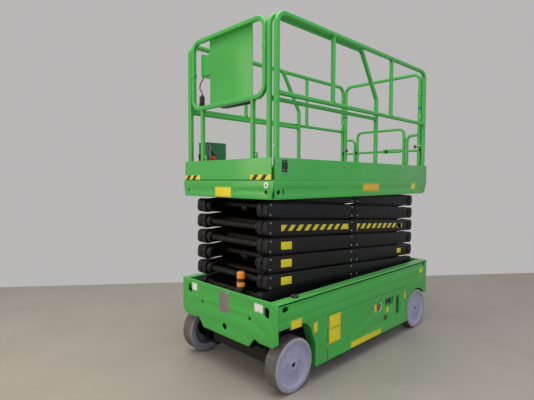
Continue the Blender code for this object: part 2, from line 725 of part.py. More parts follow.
for name, level in (("lower", 1), ("upper", 4)):
    part(f"{name}_lift_barrel", lift_barrel(level), BLACK_PAINT, cylinder_ends(level)[0])
    part(f"{name}_lift_rod", lift_rod(level), ROD_CHROME, cylinder_ends(level)[0])


# ---------------------------------------------------------------- platform
FLOOR_TOP = FLOOR_LOW + 0.012
PIVOT_TOP = (PIN_REAR, row_height(LEVELS))


def platform_frame():
    """Main platform: side channels, end plates, floor, toeboards, pivot brackets and slide track."""
    half, end = PLATFORM_HALF, PLATFORM_END
    floor = block((-half + 0.004, -end + 0.004, FLOOR_LOW), (half - 0.004, end - 0.004, FLOOR_TOP))
    pieces = [
        plate([(-half, FRAME_LOW + 0.02), (-half + 0.02, FRAME_LOW), (half - 0.02, FRAME_LOW),
               (half, FRAME_LOW + 0.02), (half, FLOOR_TOP - 0.001), (-half, FLOOR_TOP - 0.001)],
              "Y", -end, -end + 0.010),
        block((-half, end - 0.010, FRAME_LOW + 0.010), (half, end, FLOOR_TOP - 0.001)),
    ]
    for sign in (-1, 1):
        side = sorted((sign * (half - 0.026), sign * (half - 0.0005)))
        outline = [(-end + 0.005, FRAME_LOW + 0.02), (-end + 0.025, FRAME_LOW)]
        outline += [(end - 0.045, FRAME_LOW), (end - 0.005, FRAME_LOW + 0.045)]
        outline += [(end - 0.005, FLOOR_TOP - 0.002), (-end + 0.005, FLOOR_TOP - 0.002)]
        pieces.append(plate(outline, "X", *side))
        toe = sorted((sign * (half - 0.006), sign * (half - 0.0005)))
        pieces.append(block((toe[0], -1.118, FLOOR_LOW), (toe[1], end - 0.0005, TOE_TOP)))
        ear = sorted((sign * 0.268, sign * 0.300))
        outline = [(0.985, FLOOR_LOW + 0.004)] + arc(PIVOT_TOP, 0.045, 200, 340, 4)
        outline += [(1.145, FLOOR_LOW + 0.004)]
        pieces.append(plate(outline, "X", *ear))
        lip = sorted((sign * 0.448, sign * (half - 0.020)))
        pieces.append(block((lip[0], -1.170, 1.4335), (lip[1], 0.110, 1.4455)))
    for x in ((-half + 0.003, -0.345), (0.345, half - 0.003)):
        pieces.append(block((x[0], end - 0.006, FLOOR_LOW), (x[1], end - 0.0005, TOE_TOP)))
    frame = welded(floor, *pieces)
    return cut(frame, pin_bar(0.31, *PIVOT_TOP, BORE))


def side_rail():
    """Main side guardrail: outer hoop, mid rail and two short uprights above it."""
    front, rear, foot = -1.143, 1.160, FLOOR_TOP + GAP
    x = RAIL_X
    hoop = tube([(x, front, foot), (x, front, RAIL_TOP), (x, rear, RAIL_TOP), (x, rear, foot)],
                RAIL_RADIUS, 0.080)
    pieces = [bar((x, front, RAIL_MID), (x, rear, RAIL_MID), RAIL_RADIUS - 0.002, 8)]
    for y in (-0.490, 0.445):
        pieces.append(bar((x, y, RAIL_MID), (x, y, RAIL_TOP), RAIL_RADIUS - 0.002, 8))
    return welded(hoop, *pieces)


def rear_rail():
    """Rear guardrail: high cross rail on two legs, with a low hoop at each side of the gate."""
    y, foot = 1.160, FLOOR_TOP + GAP
    x = 0.4855
    hoop = tube([(-x, y, foot), (-x, y, RAIL_TOP - 0.006), (x, y, RAIL_TOP - 0.006), (x, y, foot)],
                RAIL_RADIUS, 0.080)
    pieces = []
    for sign in (-1, 1):
        pieces.append(tube([(sign * x, y, 2.070), (sign * 0.345, y, 2.070), (sign * 0.345, y, foot)],
                           0.016, 0.045))
        pieces.append(bar((sign * x, y, 1.900), (sign * 0.345, y, 1.900), 0.014, 8))
    return welded(hoop, *pieces)


GATE_HINGE = (0.306, 1.160)


def entry_gate():
    """Inward swinging gate: a small hoop with one bar."""
    x, y = GATE_HINGE
    hoop = tube([(x, y, 1.640), (x, y, 2.150), (-x, y, 2.150), (-x, y, 1.640)],
                0.016, 0.050, closed=True)
    return welded(hoop, bar((-x, y, 1.905), (x, y, 1.905), 0.014, 8))


part("platform_frame", platform_frame(), GREEN_PAINT)
both_sides(side_rail, "left_rail", "right_rail", GREEN_PAINT)
part("rear_rail", rear_rail(), GREEN_PAINT)
part("entry_gate", entry_gate(), GREEN_PAINT, (*GATE_HINGE, 1.905))


# ---------------------------------------------------------------- roll-out deck
DECK_FRONT = -1.200
DECK_REAR = 0.300
POST_Y = -1.168
BOX_LOW = 2.445             # underside of the drive controller's box


def slide_deck():
    """Roll-out deck with its front and side toeboards."""
    high = SLIDE_DECK_LOW + 0.010
    floor = block((-0.500, DECK_FRONT + 0.004, SLIDE_DECK_LOW), (0.500, DECK_REAR, high))
    toe = block((-0.5345, DECK_FRONT, FLOOR_TOP + 0.004), (0.5345, DECK_FRONT + 0.010, TOE_TOP))
    step = block((-0.500, DECK_REAR - 0.005, FLOOR_TOP + 0.006), (0.500, DECK_REAR + 0.003, high - 0.001))
    return welded(floor, toe, step)


def slide_rail():
    """Side rail of the roll-out deck: front post, top rail that bends down, and rear leg."""
    x, foot = SLIDE_RAIL_X, SLIDE_DECK_LOW + 0.010 + GAP
    top = RAIL_TOP - 0.012
    hoop = tube([(x, POST_Y, foot), (x, POST_Y, top), (x, -0.010, top), (x, 0.255, 2.330), (x, 0.255, foot)],
                RAIL_RADIUS - 0.001, 0.070)
    middle = SLIDE_RAIL_MID
    return welded(hoop, bar((x, POST_Y, middle), (x, 0.255, middle), RAIL_RADIUS - 0.003, 8))


def front_hoop():
    """Front rail of the roll-out deck: a closed upper hoop on two posts."""
    x, top = 0.440, RAIL_TOP - 0.012
    foot = SLIDE_DECK_LOW + 0.010 + GAP
    low = HOOP_LOW
    hoop = tube([(x, POST_Y, low), (x, POST_Y, top), (-x, POST_Y, top), (-x, POST_Y, low)],
                RAIL_RADIUS, 0.085, closed=True)
    pieces = []
    for sign in (-1, 1):
        pieces.append(bar((sign * 0.312, POST_Y, foot), (sign * 0.312, POST_Y, low), RAIL_RADIUS - 0.002))
    return welded(hoop, *pieces)


def control_station():
    """Control panel behind the front hoop with the box of the drive controller."""
    panel = block((-0.250, -1.140, 2.195), (0.272, -1.132, 2.708))
    box = block((-0.390, -1.133, BOX_LOW), (-0.060, -0.985, 2.620))
    shelf = block((-0.235, -1.133, 2.196), (0.235, -1.020, 2.206))
    return welded(panel, box, shelf)


part("slide_deck", slide_deck(), GREEN_PAINT)
both_sides(slide_rail, "left_slide_rail", "right_slide_rail", GREEN_PAINT)
part("front_hoop", front_hoop(), GREEN_PAINT)
part("control_station", control_station(), GREEN_PAINT)
part("deck_power_box", block((-0.440, -1.120, 1.6065), (-0.310, -0.920, 1.890)), DARK_GREEN)


# ---------------------------------------------------------------- control lead
LEAD_START = (-0.374, -1.118)       # under the drive controller's box
LEAD_END = (-0.380, -1.124)         # over its connector
LEAD_RADIUS = 0.0045
CONNECTOR_TOP = 2.296


def control_lead():
    """The controller's lead, which hangs in a slight bow from the box down to its connector."""
    route = [(*LEAD_START, BOX_LOW - GAP), (-0.374, -1.118, 2.428), (-0.412, -1.124, 2.398),
             (-0.416, -1.126, 2.350), (*LEAD_END, 2.320), (*LEAD_END, CONNECTOR_TOP + GAP)]
    return tube(route, LEAD_RADIUS, 0.010)


def lead_connector():
    """Plug housing that takes the lead, on a small bracket behind the hoop's lower rail."""
    x, y = LEAD_END
    bracket = block((x - 0.014, -1.1485, 2.165), (x + 0.014, -1.1440, 2.225))
    body = block((x - 0.016, -1.1445, 2.205), (x + 0.016, y + 0.016, 2.284))
    neck = bar((x, y, 2.282), (x, y, CONNECTOR_TOP), 0.010, 12)
    return welded(body, bracket, neck)


part("control_lead", control_lead(), BLACK_PLASTIC)
part("lead_connector", lead_connector(), BLACK_PLASTIC)
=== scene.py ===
"""Electric slab scissor lift in green powder coat, parked with its platform down.

Metres, +Z up. +X is the machine's left, -Y its front. The sections follow the machine as it is put
together, from the floor that it stands on up to the guardrails and the control station.
"""
import math

import bmesh
import bpy
from mathutils import Matrix, Vector


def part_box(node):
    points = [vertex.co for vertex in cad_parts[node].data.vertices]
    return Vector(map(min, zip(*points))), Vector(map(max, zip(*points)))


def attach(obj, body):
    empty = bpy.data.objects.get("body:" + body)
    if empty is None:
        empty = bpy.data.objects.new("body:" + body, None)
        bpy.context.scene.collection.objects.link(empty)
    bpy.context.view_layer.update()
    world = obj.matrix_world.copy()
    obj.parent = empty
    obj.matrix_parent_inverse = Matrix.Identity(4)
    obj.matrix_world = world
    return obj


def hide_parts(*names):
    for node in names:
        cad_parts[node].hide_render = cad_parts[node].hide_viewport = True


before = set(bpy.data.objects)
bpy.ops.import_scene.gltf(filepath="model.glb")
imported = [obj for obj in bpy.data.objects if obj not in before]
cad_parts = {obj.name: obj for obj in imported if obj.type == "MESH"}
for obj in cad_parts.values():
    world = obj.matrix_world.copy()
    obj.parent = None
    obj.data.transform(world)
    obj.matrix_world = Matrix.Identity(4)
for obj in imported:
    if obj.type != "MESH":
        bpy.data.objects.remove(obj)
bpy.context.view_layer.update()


# ---------------------------------------------------------------- camera, light and floor
# A standing person's view of the left front corner, under a broad soft ceiling of light, on a
# plain sealed concrete floor in a pale room.
def linear(code):
    """An sRGB hex colour as linear values."""
    channels = [int(code[i:i + 2], 16) / 255 for i in (1, 3, 5)]
    return tuple(c / 12.92 if c <= 0.04045 else ((c + 0.055) / 1.055) ** 2.4 for c in channels)


def add(tree, kind, settings=(), links=()):
    """Adds a shader node with its settings, then links the named inputs."""
    node = tree.nodes.new("ShaderNode" + kind)
    for name, value in dict(settings).items():
        if isinstance(name, int) or name in node.inputs:
            node.inputs[name].default_value = value
        else:
            setattr(node, name, value)
    for name, output in dict(links).items():
        tree.links.new(output, node.inputs[name])
    return node


def new_material(name, code, roughness, metallic=0.0, **sockets):
    """A material of one finish: returns it with its node tree and its shader."""
    made = bpy.data.materials.new(name)
    made.use_nodes = True
    tree = made.node_tree
    shader = tree.nodes["Principled BSDF"]
    shader.inputs["Base Color"].default_value = (*linear(code), 1.0)
    shader.inputs["Roughness"].default_value = roughness
    shader.inputs["Metallic"].default_value = metallic
    for socket, value in sockets.items():
        shader.inputs[socket.replace("_", " ")].default_value = value
    return made, tree, shader


EYE = Vector((2.539, -3.206, 1.568))
EYE_YAW = 0.7949            # turned left from the machine's rear
EYE_PITCH = -0.0488
EYE_ROLL = -0.003
LENS_MM = 27.46

camera_data = bpy.data.cameras.new("camera")
camera_data.lens = LENS_MM
camera_data.sensor_width = 36.0
camera = bpy.data.objects.new("camera", camera_data)
bpy.context.scene.collection.objects.link(camera)
camera.location = EYE
camera.rotation_euler = (math.pi / 2 + EYE_PITCH, EYE_ROLL, EYE_YAW)
bpy.context.scene.camera = camera
bpy.context.scene.view_settings.view_transform = "Standard"


def area_light(name, place, target, size, power, code):
    """A soft rectangular light turned towards a point."""
    data = bpy.data.lights.new(name, "AREA")
    data.shape = "RECTANGLE"
    data.size, data.size_y = size
    data.energy = power
    data.color = linear(code)
    lamp = bpy.data.objects.new(name, data)
    bpy.context.scene.collection.objects.link(lamp)
    lamp.location = place
    lamp.rotation_euler = (Vector(target) - Vector(place)).to_track_quat("-Z", "Y").to_euler()


area_light("ceiling_light", (0.6, -1.5, 5.6), (0.0, 0.0, 0.8), (5.0, 5.0), 215, "#fffdf6")
area_light("front_light", (-1.2, -5.2, 2.0), (0.0, -0.8, 0.7), (3.0, 2.4), 66, "#fff4d6")
area_light("side_light", (5.4, -0.6, 2.6), (0.3, 0.2, 1.2), (2.6, 2.6), 60, "#cfe0ff")

world = bpy.data.worlds.new("soft_room")
world.use_nodes = True
world.node_tree.nodes["Background"].inputs["Color"].default_value = (*linear("#ece8e9"), 1.0)
world.node_tree.nodes["Background"].inputs["Strength"].default_value = 0.58
bpy.context.scene.world = world


def sealed_floor():
    """Pale sealed concrete: a faint cloudy tone and a low sheen, so the wheels sit in soft contact
    shadows."""
    made, tree, shader = new_material("sealed_concrete", "#a09a91", 0.58)
    where = add(tree, "TexCoord").outputs["Object"]
    clouds = add(tree, "TexNoise", {"Scale": 1.4, "Detail": 5.0, "Roughness": 0.6}, {"Vector": where})
    tone = add(tree, "MixRGB", {"Color1": (*linear("#a9a49b"), 1), "Color2": (*linear("#969087"), 1)},
               {"Fac": clouds.outputs["Fac"]})
    tree.links.new(tone.outputs["Color"], shader.inputs["Base Color"])
    return made


FLOOR_BACK = 2.32           # from the machine's middle to the floor's far edge
FLOOR_TURN = 0.917          # how far that edge is turned from square across the machine
FLOOR_REACH = 11.0
FLOOR_GAP = 0.0004          # the floor lies this far below the tyres


def studio_floor():
    """One level sheet that ends in a straight edge behind the machine, against the plain pale room."""
    away = Vector((-math.sin(FLOOR_TURN), math.cos(FLOOR_TURN), 0.0))
    side = Vector((away.y, -away.x, 0.0))
    reach, back = FLOOR_REACH, FLOOR_BACK
    corners = [away * out + side * wide for out, wide in
               ((-reach, -reach), (-reach, reach), (back, reach), (back, -reach))]
    bm = bmesh.new()
    bm.faces.new([bm.verts.new(corner) for corner in corners])
    bmesh.ops.recalc_face_normals(bm, faces=bm.faces)
    data = bpy.data.meshes.new("studio_floor")
    bm.to_mesh(data)
    bm.free()
    data.materials.append(sealed_floor())
    made = bpy.data.objects.new("studio_floor", data)
    bpy.context.scene.collection.objects.link(made)
    made.location.z = -FLOOR_GAP


studio_floor()


# ---------------------------------------------------------------- chassis frame and deck
# Welded box frame of 12 mm plate under a flat deck, with two long webs, a slide track for the lowest
# arms in front and pivot brackets behind. All of it is sprayed satin black before the skins go on.
def surface_tone(tree, code_low, code_high, scale, vector):
    """A colour that drifts between two tones over a coarse cloud."""
    cloud = add(tree, "TexNoise", {"Scale": scale, "Detail": 4.0, "Roughness": 0.55}, {"Vector": vector})
    return add(tree, "MixRGB", {"Color1": (*linear(code_low), 1), "Color2": (*linear(code_high), 1)},
               {"Fac": cloud.outputs["Fac"]}).outputs["Color"]


def dusted(tree, colour, vector, dust_code, amount):
    """Dust that has settled on what faces up, thin and patchy."""
    normal = add(tree, "NewGeometry").outputs["Normal"]
    up = add(tree, "SeparateXYZ", {}, {"Vector": normal}).outputs["Z"]
    flat = add(tree, "MapRange", {"From Min": 0.55, "From Max": 1.0, "To Max": amount}, {"Value": up})
    patches = add(tree, "TexNoise", {"Scale": 9.0, "Detail": 6.0, "Roughness": 0.7}, {"Vector": vector})
    much = add(tree, "Math", {"operation": "MULTIPLY"},
               {0: flat.outputs["Result"], 1: patches.outputs["Fac"]})
    return add(tree, "MixRGB", {"Color2": (*linear(dust_code), 1)},
               {"Fac": much.outputs["Value"], "Color1": colour}).outputs["Color"]


def satin_black_paint():
    """Satin black powder coat on steel: a deep even black with a broad soft highlight, a fine orange
    peel (drawn at 4 mm so that it shows) and grey dust on what faces up."""
    made, tree, shader = new_material("satin_black_powder_coat", "#0b0b0c", 0.46, 0.0, IOR=1.40)
    where = add(tree, "TexCoord").outputs["Object"]
    base = surface_tone(tree, "#070708", "#0e0e0f", 3.0, where)
    base = dusted(tree, base, where, "#5a5750", 0.22)
    tree.links.new(base, shader.inputs["Base Color"])
    smears = add(tree, "TexNoise", {"Scale": 14.0, "Detail": 5.0}, {"Vector": where})
    rough = add(tree, "MapRange", {"To Min": 0.38, "To Max": 0.62}, {"Value": smears.outputs["Fac"]})
    tree.links.new(rough.outputs["Result"], shader.inputs["Roughness"])
    peel = add(tree, "TexNoise", {"Scale": 250.0, "Detail": 2.0}, {"Vector": where})
    bump = add(tree, "Bump", {"Strength": 0.10, "Distance": 0.0006}, {"Height": peel.outputs["Fac"]})
    tree.links.new(bump.outputs["Normal"], shader.inputs["Normal"])
    return made


def worn_steel():
    """Zinc-plated steel: bright and slightly mottled, for bolts, pins and catches."""
    made, tree, shader = new_material("zinc_plated_steel", "#b9bcc0", 0.34, 1.0)
    where = add(tree, "TexCoord").outputs["Object"]
    spangle = add(tree, "TexVoronoi", {"Scale": 180.0}, {"Vector": where})
    tone = add(tree, "MixRGB", {"Color1": (*linear("#a9adb2"), 1), "Color2": (*linear("#cfd2d4"), 1)},
               {"Fac": spangle.outputs["Distance"]})
    tree.links.new(tone.outputs["Color"], shader.inputs["Base Color"])
    return made


def moulded_black_plastic():
    """Black moulded nylon: dull, with a fine spark-eroded grain drawn at 2 mm."""
    made, tree, shader = new_material("moulded_black_nylon", "#17181a", 0.55, 0.0, IOR=1.53)
    where = add(tree, "TexCoord").outputs["Object"]
    tree.links.new(surface_tone(tree, "#141517", "#222326", 20.0, where), shader.inputs["Base Color"])
    grain = add(tree, "TexNoise", {"Scale": 500.0, "Detail": 2.0}, {"Vector": where})
    bump = add(tree, "Bump", {"Strength": 0.15, "Distance": 0.0004}, {"Height": grain.outputs["Fac"]})
    tree.links.new(bump.outputs["Normal"], shader.inputs["Normal"])
    return made


def battery_case_plastic():
    """Charcoal polypropylene battery case, matt with a slight mottle."""
    made, tree, shader = new_material("charcoal_polypropylene", "#2b2c2f", 0.62, 0.0, IOR=1.49)
    where = add(tree, "TexCoord").outputs["Object"]
    tree.links.new(surface_tone(tree, "#26272a", "#34353a", 12.0, where), shader.inputs["Base Color"])
    return made


def grey_enamel():
    """Machine-grey enamel on cast housings: semi-gloss over a slightly uneven casting."""
    made, tree, shader = new_material("machine_grey_enamel", "#6d7074", 0.38, 0.0, IOR=1.5)
    where = add(tree, "TexCoord").outputs["Object"]
    tree.links.new(surface_tone(tree, "#64676b", "#777a7f", 8.0, where), shader.inputs["Base Color"])
    cast = add(tree, "TexNoise", {"Scale": 90.0, "Detail": 3.0}, {"Vector": where})
    bump = add(tree, "Bump", {"Strength": 0.2, "Distance": 0.0008}, {"Height": cast.outputs["Fac"]})
    tree.links.new(bump.outputs["Normal"], shader.inputs["Normal"])
    return made


BLACK = satin_black_paint()
ZINC = worn_steel()
NYLON = moulded_black_plastic()


def refinish(node, material):
    """Gives a node of the frame its real finish."""
    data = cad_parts[node].data
    data.materials.clear()
    data.materials.append(material)


for node in ("chassis_deck", "chassis_frame", "steer_axle", "rear_axle", "left_knuckle",
             "right_knuckle", "left_pothole_guard", "right_pothole_guard"):
    refinish(node, BLACK)
refinish("battery_pack", battery_case_plastic())
refinish("pump_unit", grey_enamel())


# ---------------------------------------------------------------- side skins
# Cut and folded 12 mm plate down each side: an open arch over the steered wheel, a round one at the
# rear, a pressed fold line and a turned-in top flange. Bolted to the frame and powder coated green.
def rounded(corners, bend, steps=8, closed=False):
    """A path with an arc of the bend radius at each corner."""
    corners = [Vector(corner) for corner in corners]
    path = []
    for index, corner in enumerate(corners):
        if not closed and index in (0, len(corners) - 1):
            path.append(corner)
            continue
        back = (corners[index - 1] - corner).normalized()
        ahead = (corners[(index + 1) % len(corners)] - corner).normalized()
        half = back.angle(ahead) / 2
        middle = corner + (back + ahead).normalized() * (bend / math.sin(half))
        first = corner + back * (bend / math.tan(half)) - middle
        last = corner + ahead * (bend / math.tan(half)) - middle
        sweep = first.angle(last)
        for step in range(steps + 1):
            share = step / steps
            blend = first * math.sin((1 - share) * sweep) + last * math.sin(share * sweep)
            path.append(middle + blend / math.sin(sweep))
    return path


def arc(centre, radius, start_deg, end_deg, steps):
    """Points along an arc, both ends included."""
    turn = [math.radians(start_deg + (end_deg - start_deg) * i / steps) for i in range(steps + 1)]
    return [(centre[0] + radius * math.cos(a), centre[1] + radius * math.sin(a)) for a in turn]


def circle(centre, radius, steps=24):
    return arc(centre, radius, 0, 360 - 360 / steps, steps - 1)


def soft_box(low, high, bend=0.004, steps=4):
    """A rectangle with rounded corners."""
    corners = [(low[0], low[1], 0), (high[0], low[1], 0), (high[0], high[1], 0), (low[0], high[1], 0)]
    return [(p.x, p.y) for p in rounded(corners, bend, steps, closed=True)]


OUTLINE_PLANES = {
    "X": Matrix(((0, 0, 1, 0), (1, 0, 0, 0), (0, 1, 0, 0), (0, 0, 0, 1))),
    "Y": Matrix(((1, 0, 0, 0), (0, 0, -1, 0), (0, 1, 0, 0), (0, 0, 0, 1))),
    "Z": Matrix.Identity(4),
}


def curve_mesh(curve, place):
    """The mesh of a curve, with its seams closed."""
    made = bpy.data.objects.new("curve", curve)
    bpy.context.scene.collection.objects.link(made)
    bpy.context.view_layer.update()
    graph = bpy.context.evaluated_depsgraph_get()
    data = bpy.data.meshes.new_from_object(made.evaluated_get(graph))
    bpy.data.objects.remove(made, do_unlink=True)
    bpy.data.curves.remove(curve)
    bm = bmesh.new()
    bm.from_mesh(data)
    bmesh.ops.remove_doubles(bm, verts=bm.verts, dist=0.00001)
    bmesh.ops.transform(bm, matrix=place, verts=bm.verts)
    bmesh.ops.recalc_face_normals(bm, faces=bm.faces)
    bm.to_mesh(data)
    bm.free()
    return data


def sheet(outlines, across, low, high, edge=0.0015):
    """A plate with softened edges. The first outline is its rim, and each further one is a hole."""
    curve = bpy.data.curves.new("outline", "CURVE")
    curve.dimensions = "2D"
    curve.fill_mode = "BOTH"
    curve.extrude = (high - low) / 2 - edge
    curve.bevel_depth = edge
    curve.bevel_resolution = 1
    curve.offset = -edge
    curve.render_resolution_u = 0
    for outline in outlines:
        spline = curve.splines.new("POLY")
        spline.points.add(len(outline) - 1)
        for point, (u, v) in zip(spline.points, outline):
            point.co = (u, v, 0.0, 1.0)
        spline.use_cyclic_u = True
    middle = Vector((0, 0, 0))
    middle["XYZ".index(across)] = (low + high) / 2
    return curve_mesh(curve, Matrix.Translation(middle) @ OUTLINE_PLANES[across])


def pipe(path, radius, closed=False):
    """A round tube along a path, with flat ends."""
    curve = bpy.data.curves.new("pipe", "CURVE")
    curve.dimensions = "3D"
    curve.bevel_depth = radius
    curve.bevel_resolution = 5
    curve.use_fill_caps = not closed
    curve.render_resolution_u = 0
    spline = curve.splines.new("POLY")
    spline.points.add(len(path) - 1)
    for point, place in zip(spline.points, path):
        point.co = (*place, 1.0)
    spline.use_cyclic_u = closed
    return curve_mesh(curve, Matrix.Identity(4))


def slab(low, high, edge=0.003, segments=2):
    """A block between two corners, with rounded edges."""
    size = Vector(high) - Vector(low)
    bm = bmesh.new()
    place = Matrix.Translation((Vector(low) + Vector(high)) / 2) @ Matrix.Diagonal((*size, 1.0))
    bmesh.ops.create_cube(bm, size=1.0, matrix=place)
    bmesh.ops.bevel(bm, geom=bm.edges[:], offset=edge, segments=segments, profile=0.5, affect="EDGES")
    data = bpy.data.meshes.new("slab")
    bm.to_mesh(data)
    bm.free()
    return data


def turned(profile, base, along, sides=24):
    """A turned piece: (distance, radius) pairs along an axis that starts at its base."""
    bm = bmesh.new()
    line = [bm.verts.new((radius, 0.0, distance)) for distance, radius in profile]
    edges = [bm.edges.new((line[i], line[i + 1])) for i in range(len(line) - 1)]
    bmesh.ops.spin(bm, geom=line + edges, cent=(0, 0, 0), axis=(0, 0, 1), angle=2 * math.pi,
                   steps=sides, use_merge=True)
    bmesh.ops.remove_doubles(bm, verts=bm.verts, dist=0.00001)
    turn = Vector(along).to_track_quat("Z", "Y").to_matrix().to_4x4()
    bmesh.ops.transform(bm, matrix=Matrix.Translation(base) @ turn, verts=bm.verts)
    bmesh.ops.recalc_face_normals(bm, faces=bm.faces)
    data = bpy.data.meshes.new("turned")
    bm.to_mesh(data)
    bm.free()
    return data


def drum(start, end, radius, edge=0.002, sides=24):
    """A plain round bar between two points, its ends slightly chamfered."""
    run = Vector(end) - Vector(start)
    long = run.length
    profile = [(0, 0), (0, radius - edge), (edge, radius), (long - edge, radius),
               (long, radius - edge), (long, 0)]
    return turned(profile, start, run, sides)


def mirrored(shapes):
    """The same shapes on the other side of the machine."""
    made = []
    for shape in shapes:
        copy = shape.copy()
        copy.transform(Matrix.Diagonal((-1, 1, 1, 1)))
        copy.flip_normals()
        made.append(copy)
    return made


def piece(name, shapes, material, body, slot, *replaced, angle=35):
    """Joins shapes into one named piece that rides on a body."""
    bm = bmesh.new()
    for shape in shapes:
        bm.from_mesh(shape)
    data = bpy.data.meshes.new(name)
    bm.to_mesh(data)
    bm.free()
    data.materials.append(material)
    data.shade_smooth()
    data.set_sharp_from_angle(angle=math.radians(angle))
    made = bpy.data.objects.new(name, data)
    bpy.context.scene.collection.objects.link(made)
    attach(made, body)
    if replaced:
        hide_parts(*replaced)
    return made


def hex_bolt(place, along, across_flats=0.017, head=0.008):
    """A hexagon head on a plain washer."""
    radius = across_flats / math.sqrt(3)
    washer = turned([(0, 0), (0, radius * 1.35), (0.0016, radius * 1.35), (0.002, 0)], place, along, 16)
    cap = [(0.0015, 0), (0.0015, radius), (head - 0.0015, radius), (head, radius * 0.8), (head, 0)]
    return [washer, turned(cap, place, along, 6)]


def green_powder_coat():
    """Bright green powder coat on plate and tube: semi-gloss with a fine orange peel (drawn at 5 mm
    so that it shows), a faint drift in tone, handling scuffs that dull the gloss and pale dust on
    what faces up."""
    made, tree, shader = new_material("green_powder_coat", "#3dad45", 0.36, 0.0, IOR=1.5, Coat_Weight=0.25,
                                      Coat_Roughness=0.22)
    where = add(tree, "TexCoord").outputs["Object"]
    base = surface_tone(tree, "#36a63e", "#43b44b", 2.2, where)
    flecks = add(tree, "TexNoise", {"Scale": 60.0, "Detail": 7.0, "Roughness": 0.75}, {"Vector": where})
    marks = add(tree, "MapRange", {"From Min": 0.62, "From Max": 0.78, "To Max": 0.30},
                {"Value": flecks.outputs["Fac"]})
    base = add(tree, "MixRGB", {"Color2": (*linear("#2f8a33"), 1)},
               {"Fac": marks.outputs["Result"], "Color1": base}).outputs["Color"]
    base = dusted(tree, base, where, "#b7c7a5", 0.22)
    tree.links.new(base, shader.inputs["Base Color"])
    stretched = add(tree, "Mapping", {"Scale": (3.0, 3.0, 22.0)}, {"Vector": where})
    wiped = add(tree, "TexNoise", {"Scale": 1.6, "Detail": 6.0, "Roughness": 0.65},
                {"Vector": stretched.outputs["Vector"]})
    rough = add(tree, "MapRange", {"From Min": 0.3, "From Max": 0.75, "To Min": 0.28, "To Max": 0.48},
                {"Value": wiped.outputs["Fac"]})
    tree.links.new(rough.outputs["Result"], shader.inputs["Roughness"])
    peel = add(tree, "TexNoise", {"Scale": 200.0, "Detail": 2.0}, {"Vector": where})
    bump = add(tree, "Bump", {"Strength": 0.08, "Distance": 0.0008}, {"Height": peel.outputs["Fac"]})
    tree.links.new(bump.outputs["Normal"], shader.inputs["Normal"])
    return made


GREEN = green_powder_coat()
SKIN_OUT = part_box("left_side_plate")[1].x
SKIN_IN = SKIN_OUT - 0.012
SKIN_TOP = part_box("left_side_plate")[1].z
SKIN_FRONT, SKIN_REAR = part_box("left_side_plate")[0].y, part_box("left_side_plate")[1].y
FOLD_Z = 0.5625             # middle of the pressed fold line
DOOR_FRONT, DOOR_REAR, DOOR_TOP, SKIRT_LOW = -0.607, 0.710, 0.485, 0.120
WHEEL_RADIUS = 0.203
FRONT_AXLE_Y, REAR_AXLE_Y = -1.000, 0.950


def side_skin():
    """Upper band, lower band with its arches, top flange and the lip that stiffens it."""
    upper = [(SKIN_FRONT, FOLD_Z + 0.001), (SKIN_REAR, FOLD_Z + 0.001),
             (SKIN_REAR, SKIN_TOP - 0.008), (SKIN_FRONT, SKIN_TOP - 0.008)]
    eye = arc((-1.102, 0.646), 0.020, -90, 90, 10) + arc((-1.122, 0.646), 0.020, 90, 270, 10)
    lower = [(SKIN_FRONT, 0.505)] + arc((-0.945, 0.360), 0.145, 90, 12, 14)
    lower += [(-0.765, 0.300), (-0.765, SKIRT_LOW), (-0.615, SKIRT_LOW), (-0.615, DOOR_TOP + 0.004)]
    lower += [(DOOR_REAR + 0.004, DOOR_TOP + 0.004), (DOOR_REAR + 0.004, SKIRT_LOW)]
    arch = 0.218
    rise = WHEEL_RADIUS - SKIRT_LOW
    first = 180 + math.degrees(math.asin(rise / arch))
    lower += arc((REAR_AXLE_Y, WHEEL_RADIUS), arch, first, 42, 28)
    lower += [(SKIN_REAR, 0.337), (SKIN_REAR, FOLD_Z - 0.001), (SKIN_FRONT, FOLD_Z - 0.001)]
    corner = [(0.515, 0.602), (0.524, 0.602), (0.524, SKIN_TOP - 0.012), (SKIN_IN, SKIN_TOP - 0.012)]
    corner += [(SKIN_IN, SKIN_TOP - 0.020), (SKIN_OUT, SKIN_TOP - 0.020)]
    corner += arc((SKIN_OUT - 0.010, SKIN_TOP - 0.010), 0.010, 0, 90, 6)
    corner += [(0.515, SKIN_TOP)]
    return [
        sheet([upper, eye, circle((1.095, 0.655), 0.020)], "X", SKIN_IN, SKIN_OUT, 0.0008),
        sheet([lower], "X", SKIN_IN, SKIN_OUT, 0.0012),
        slab((SKIN_IN - 0.003, SKIN_FRONT, FOLD_Z - 0.012), (SKIN_OUT - 0.0022, SKIN_REAR, FOLD_Z + 0.012),
             0.0008),
        sheet([corner], "Y", SKIN_FRONT, SKIN_REAR, 0.0004),
    ]


skin_shapes = side_skin()
piece("left_side_skin", skin_shapes, GREEN, "chassis", "green", "left_side_plate")
piece("right_side_skin", mirrored(skin_shapes), GREEN, "chassis", "green", "right_side_plate")


# ---------------------------------------------------------------- front and rear plates
# Flame-cut 12 mm plate across each end. The front one has a low skirt over the axle, two tie-down
# slots, a tow hole and bolt holes; the rear one is cut for the lowest step of the ladder.
FRONT_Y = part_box("front_plate")[0].y
REAR_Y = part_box("rear_plate")[1].y
HALF_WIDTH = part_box("front_plate")[1].x
PLATE = 0.012
BOLT_HOLE = (0.300, 0.527)  # across and up, the same on both sides


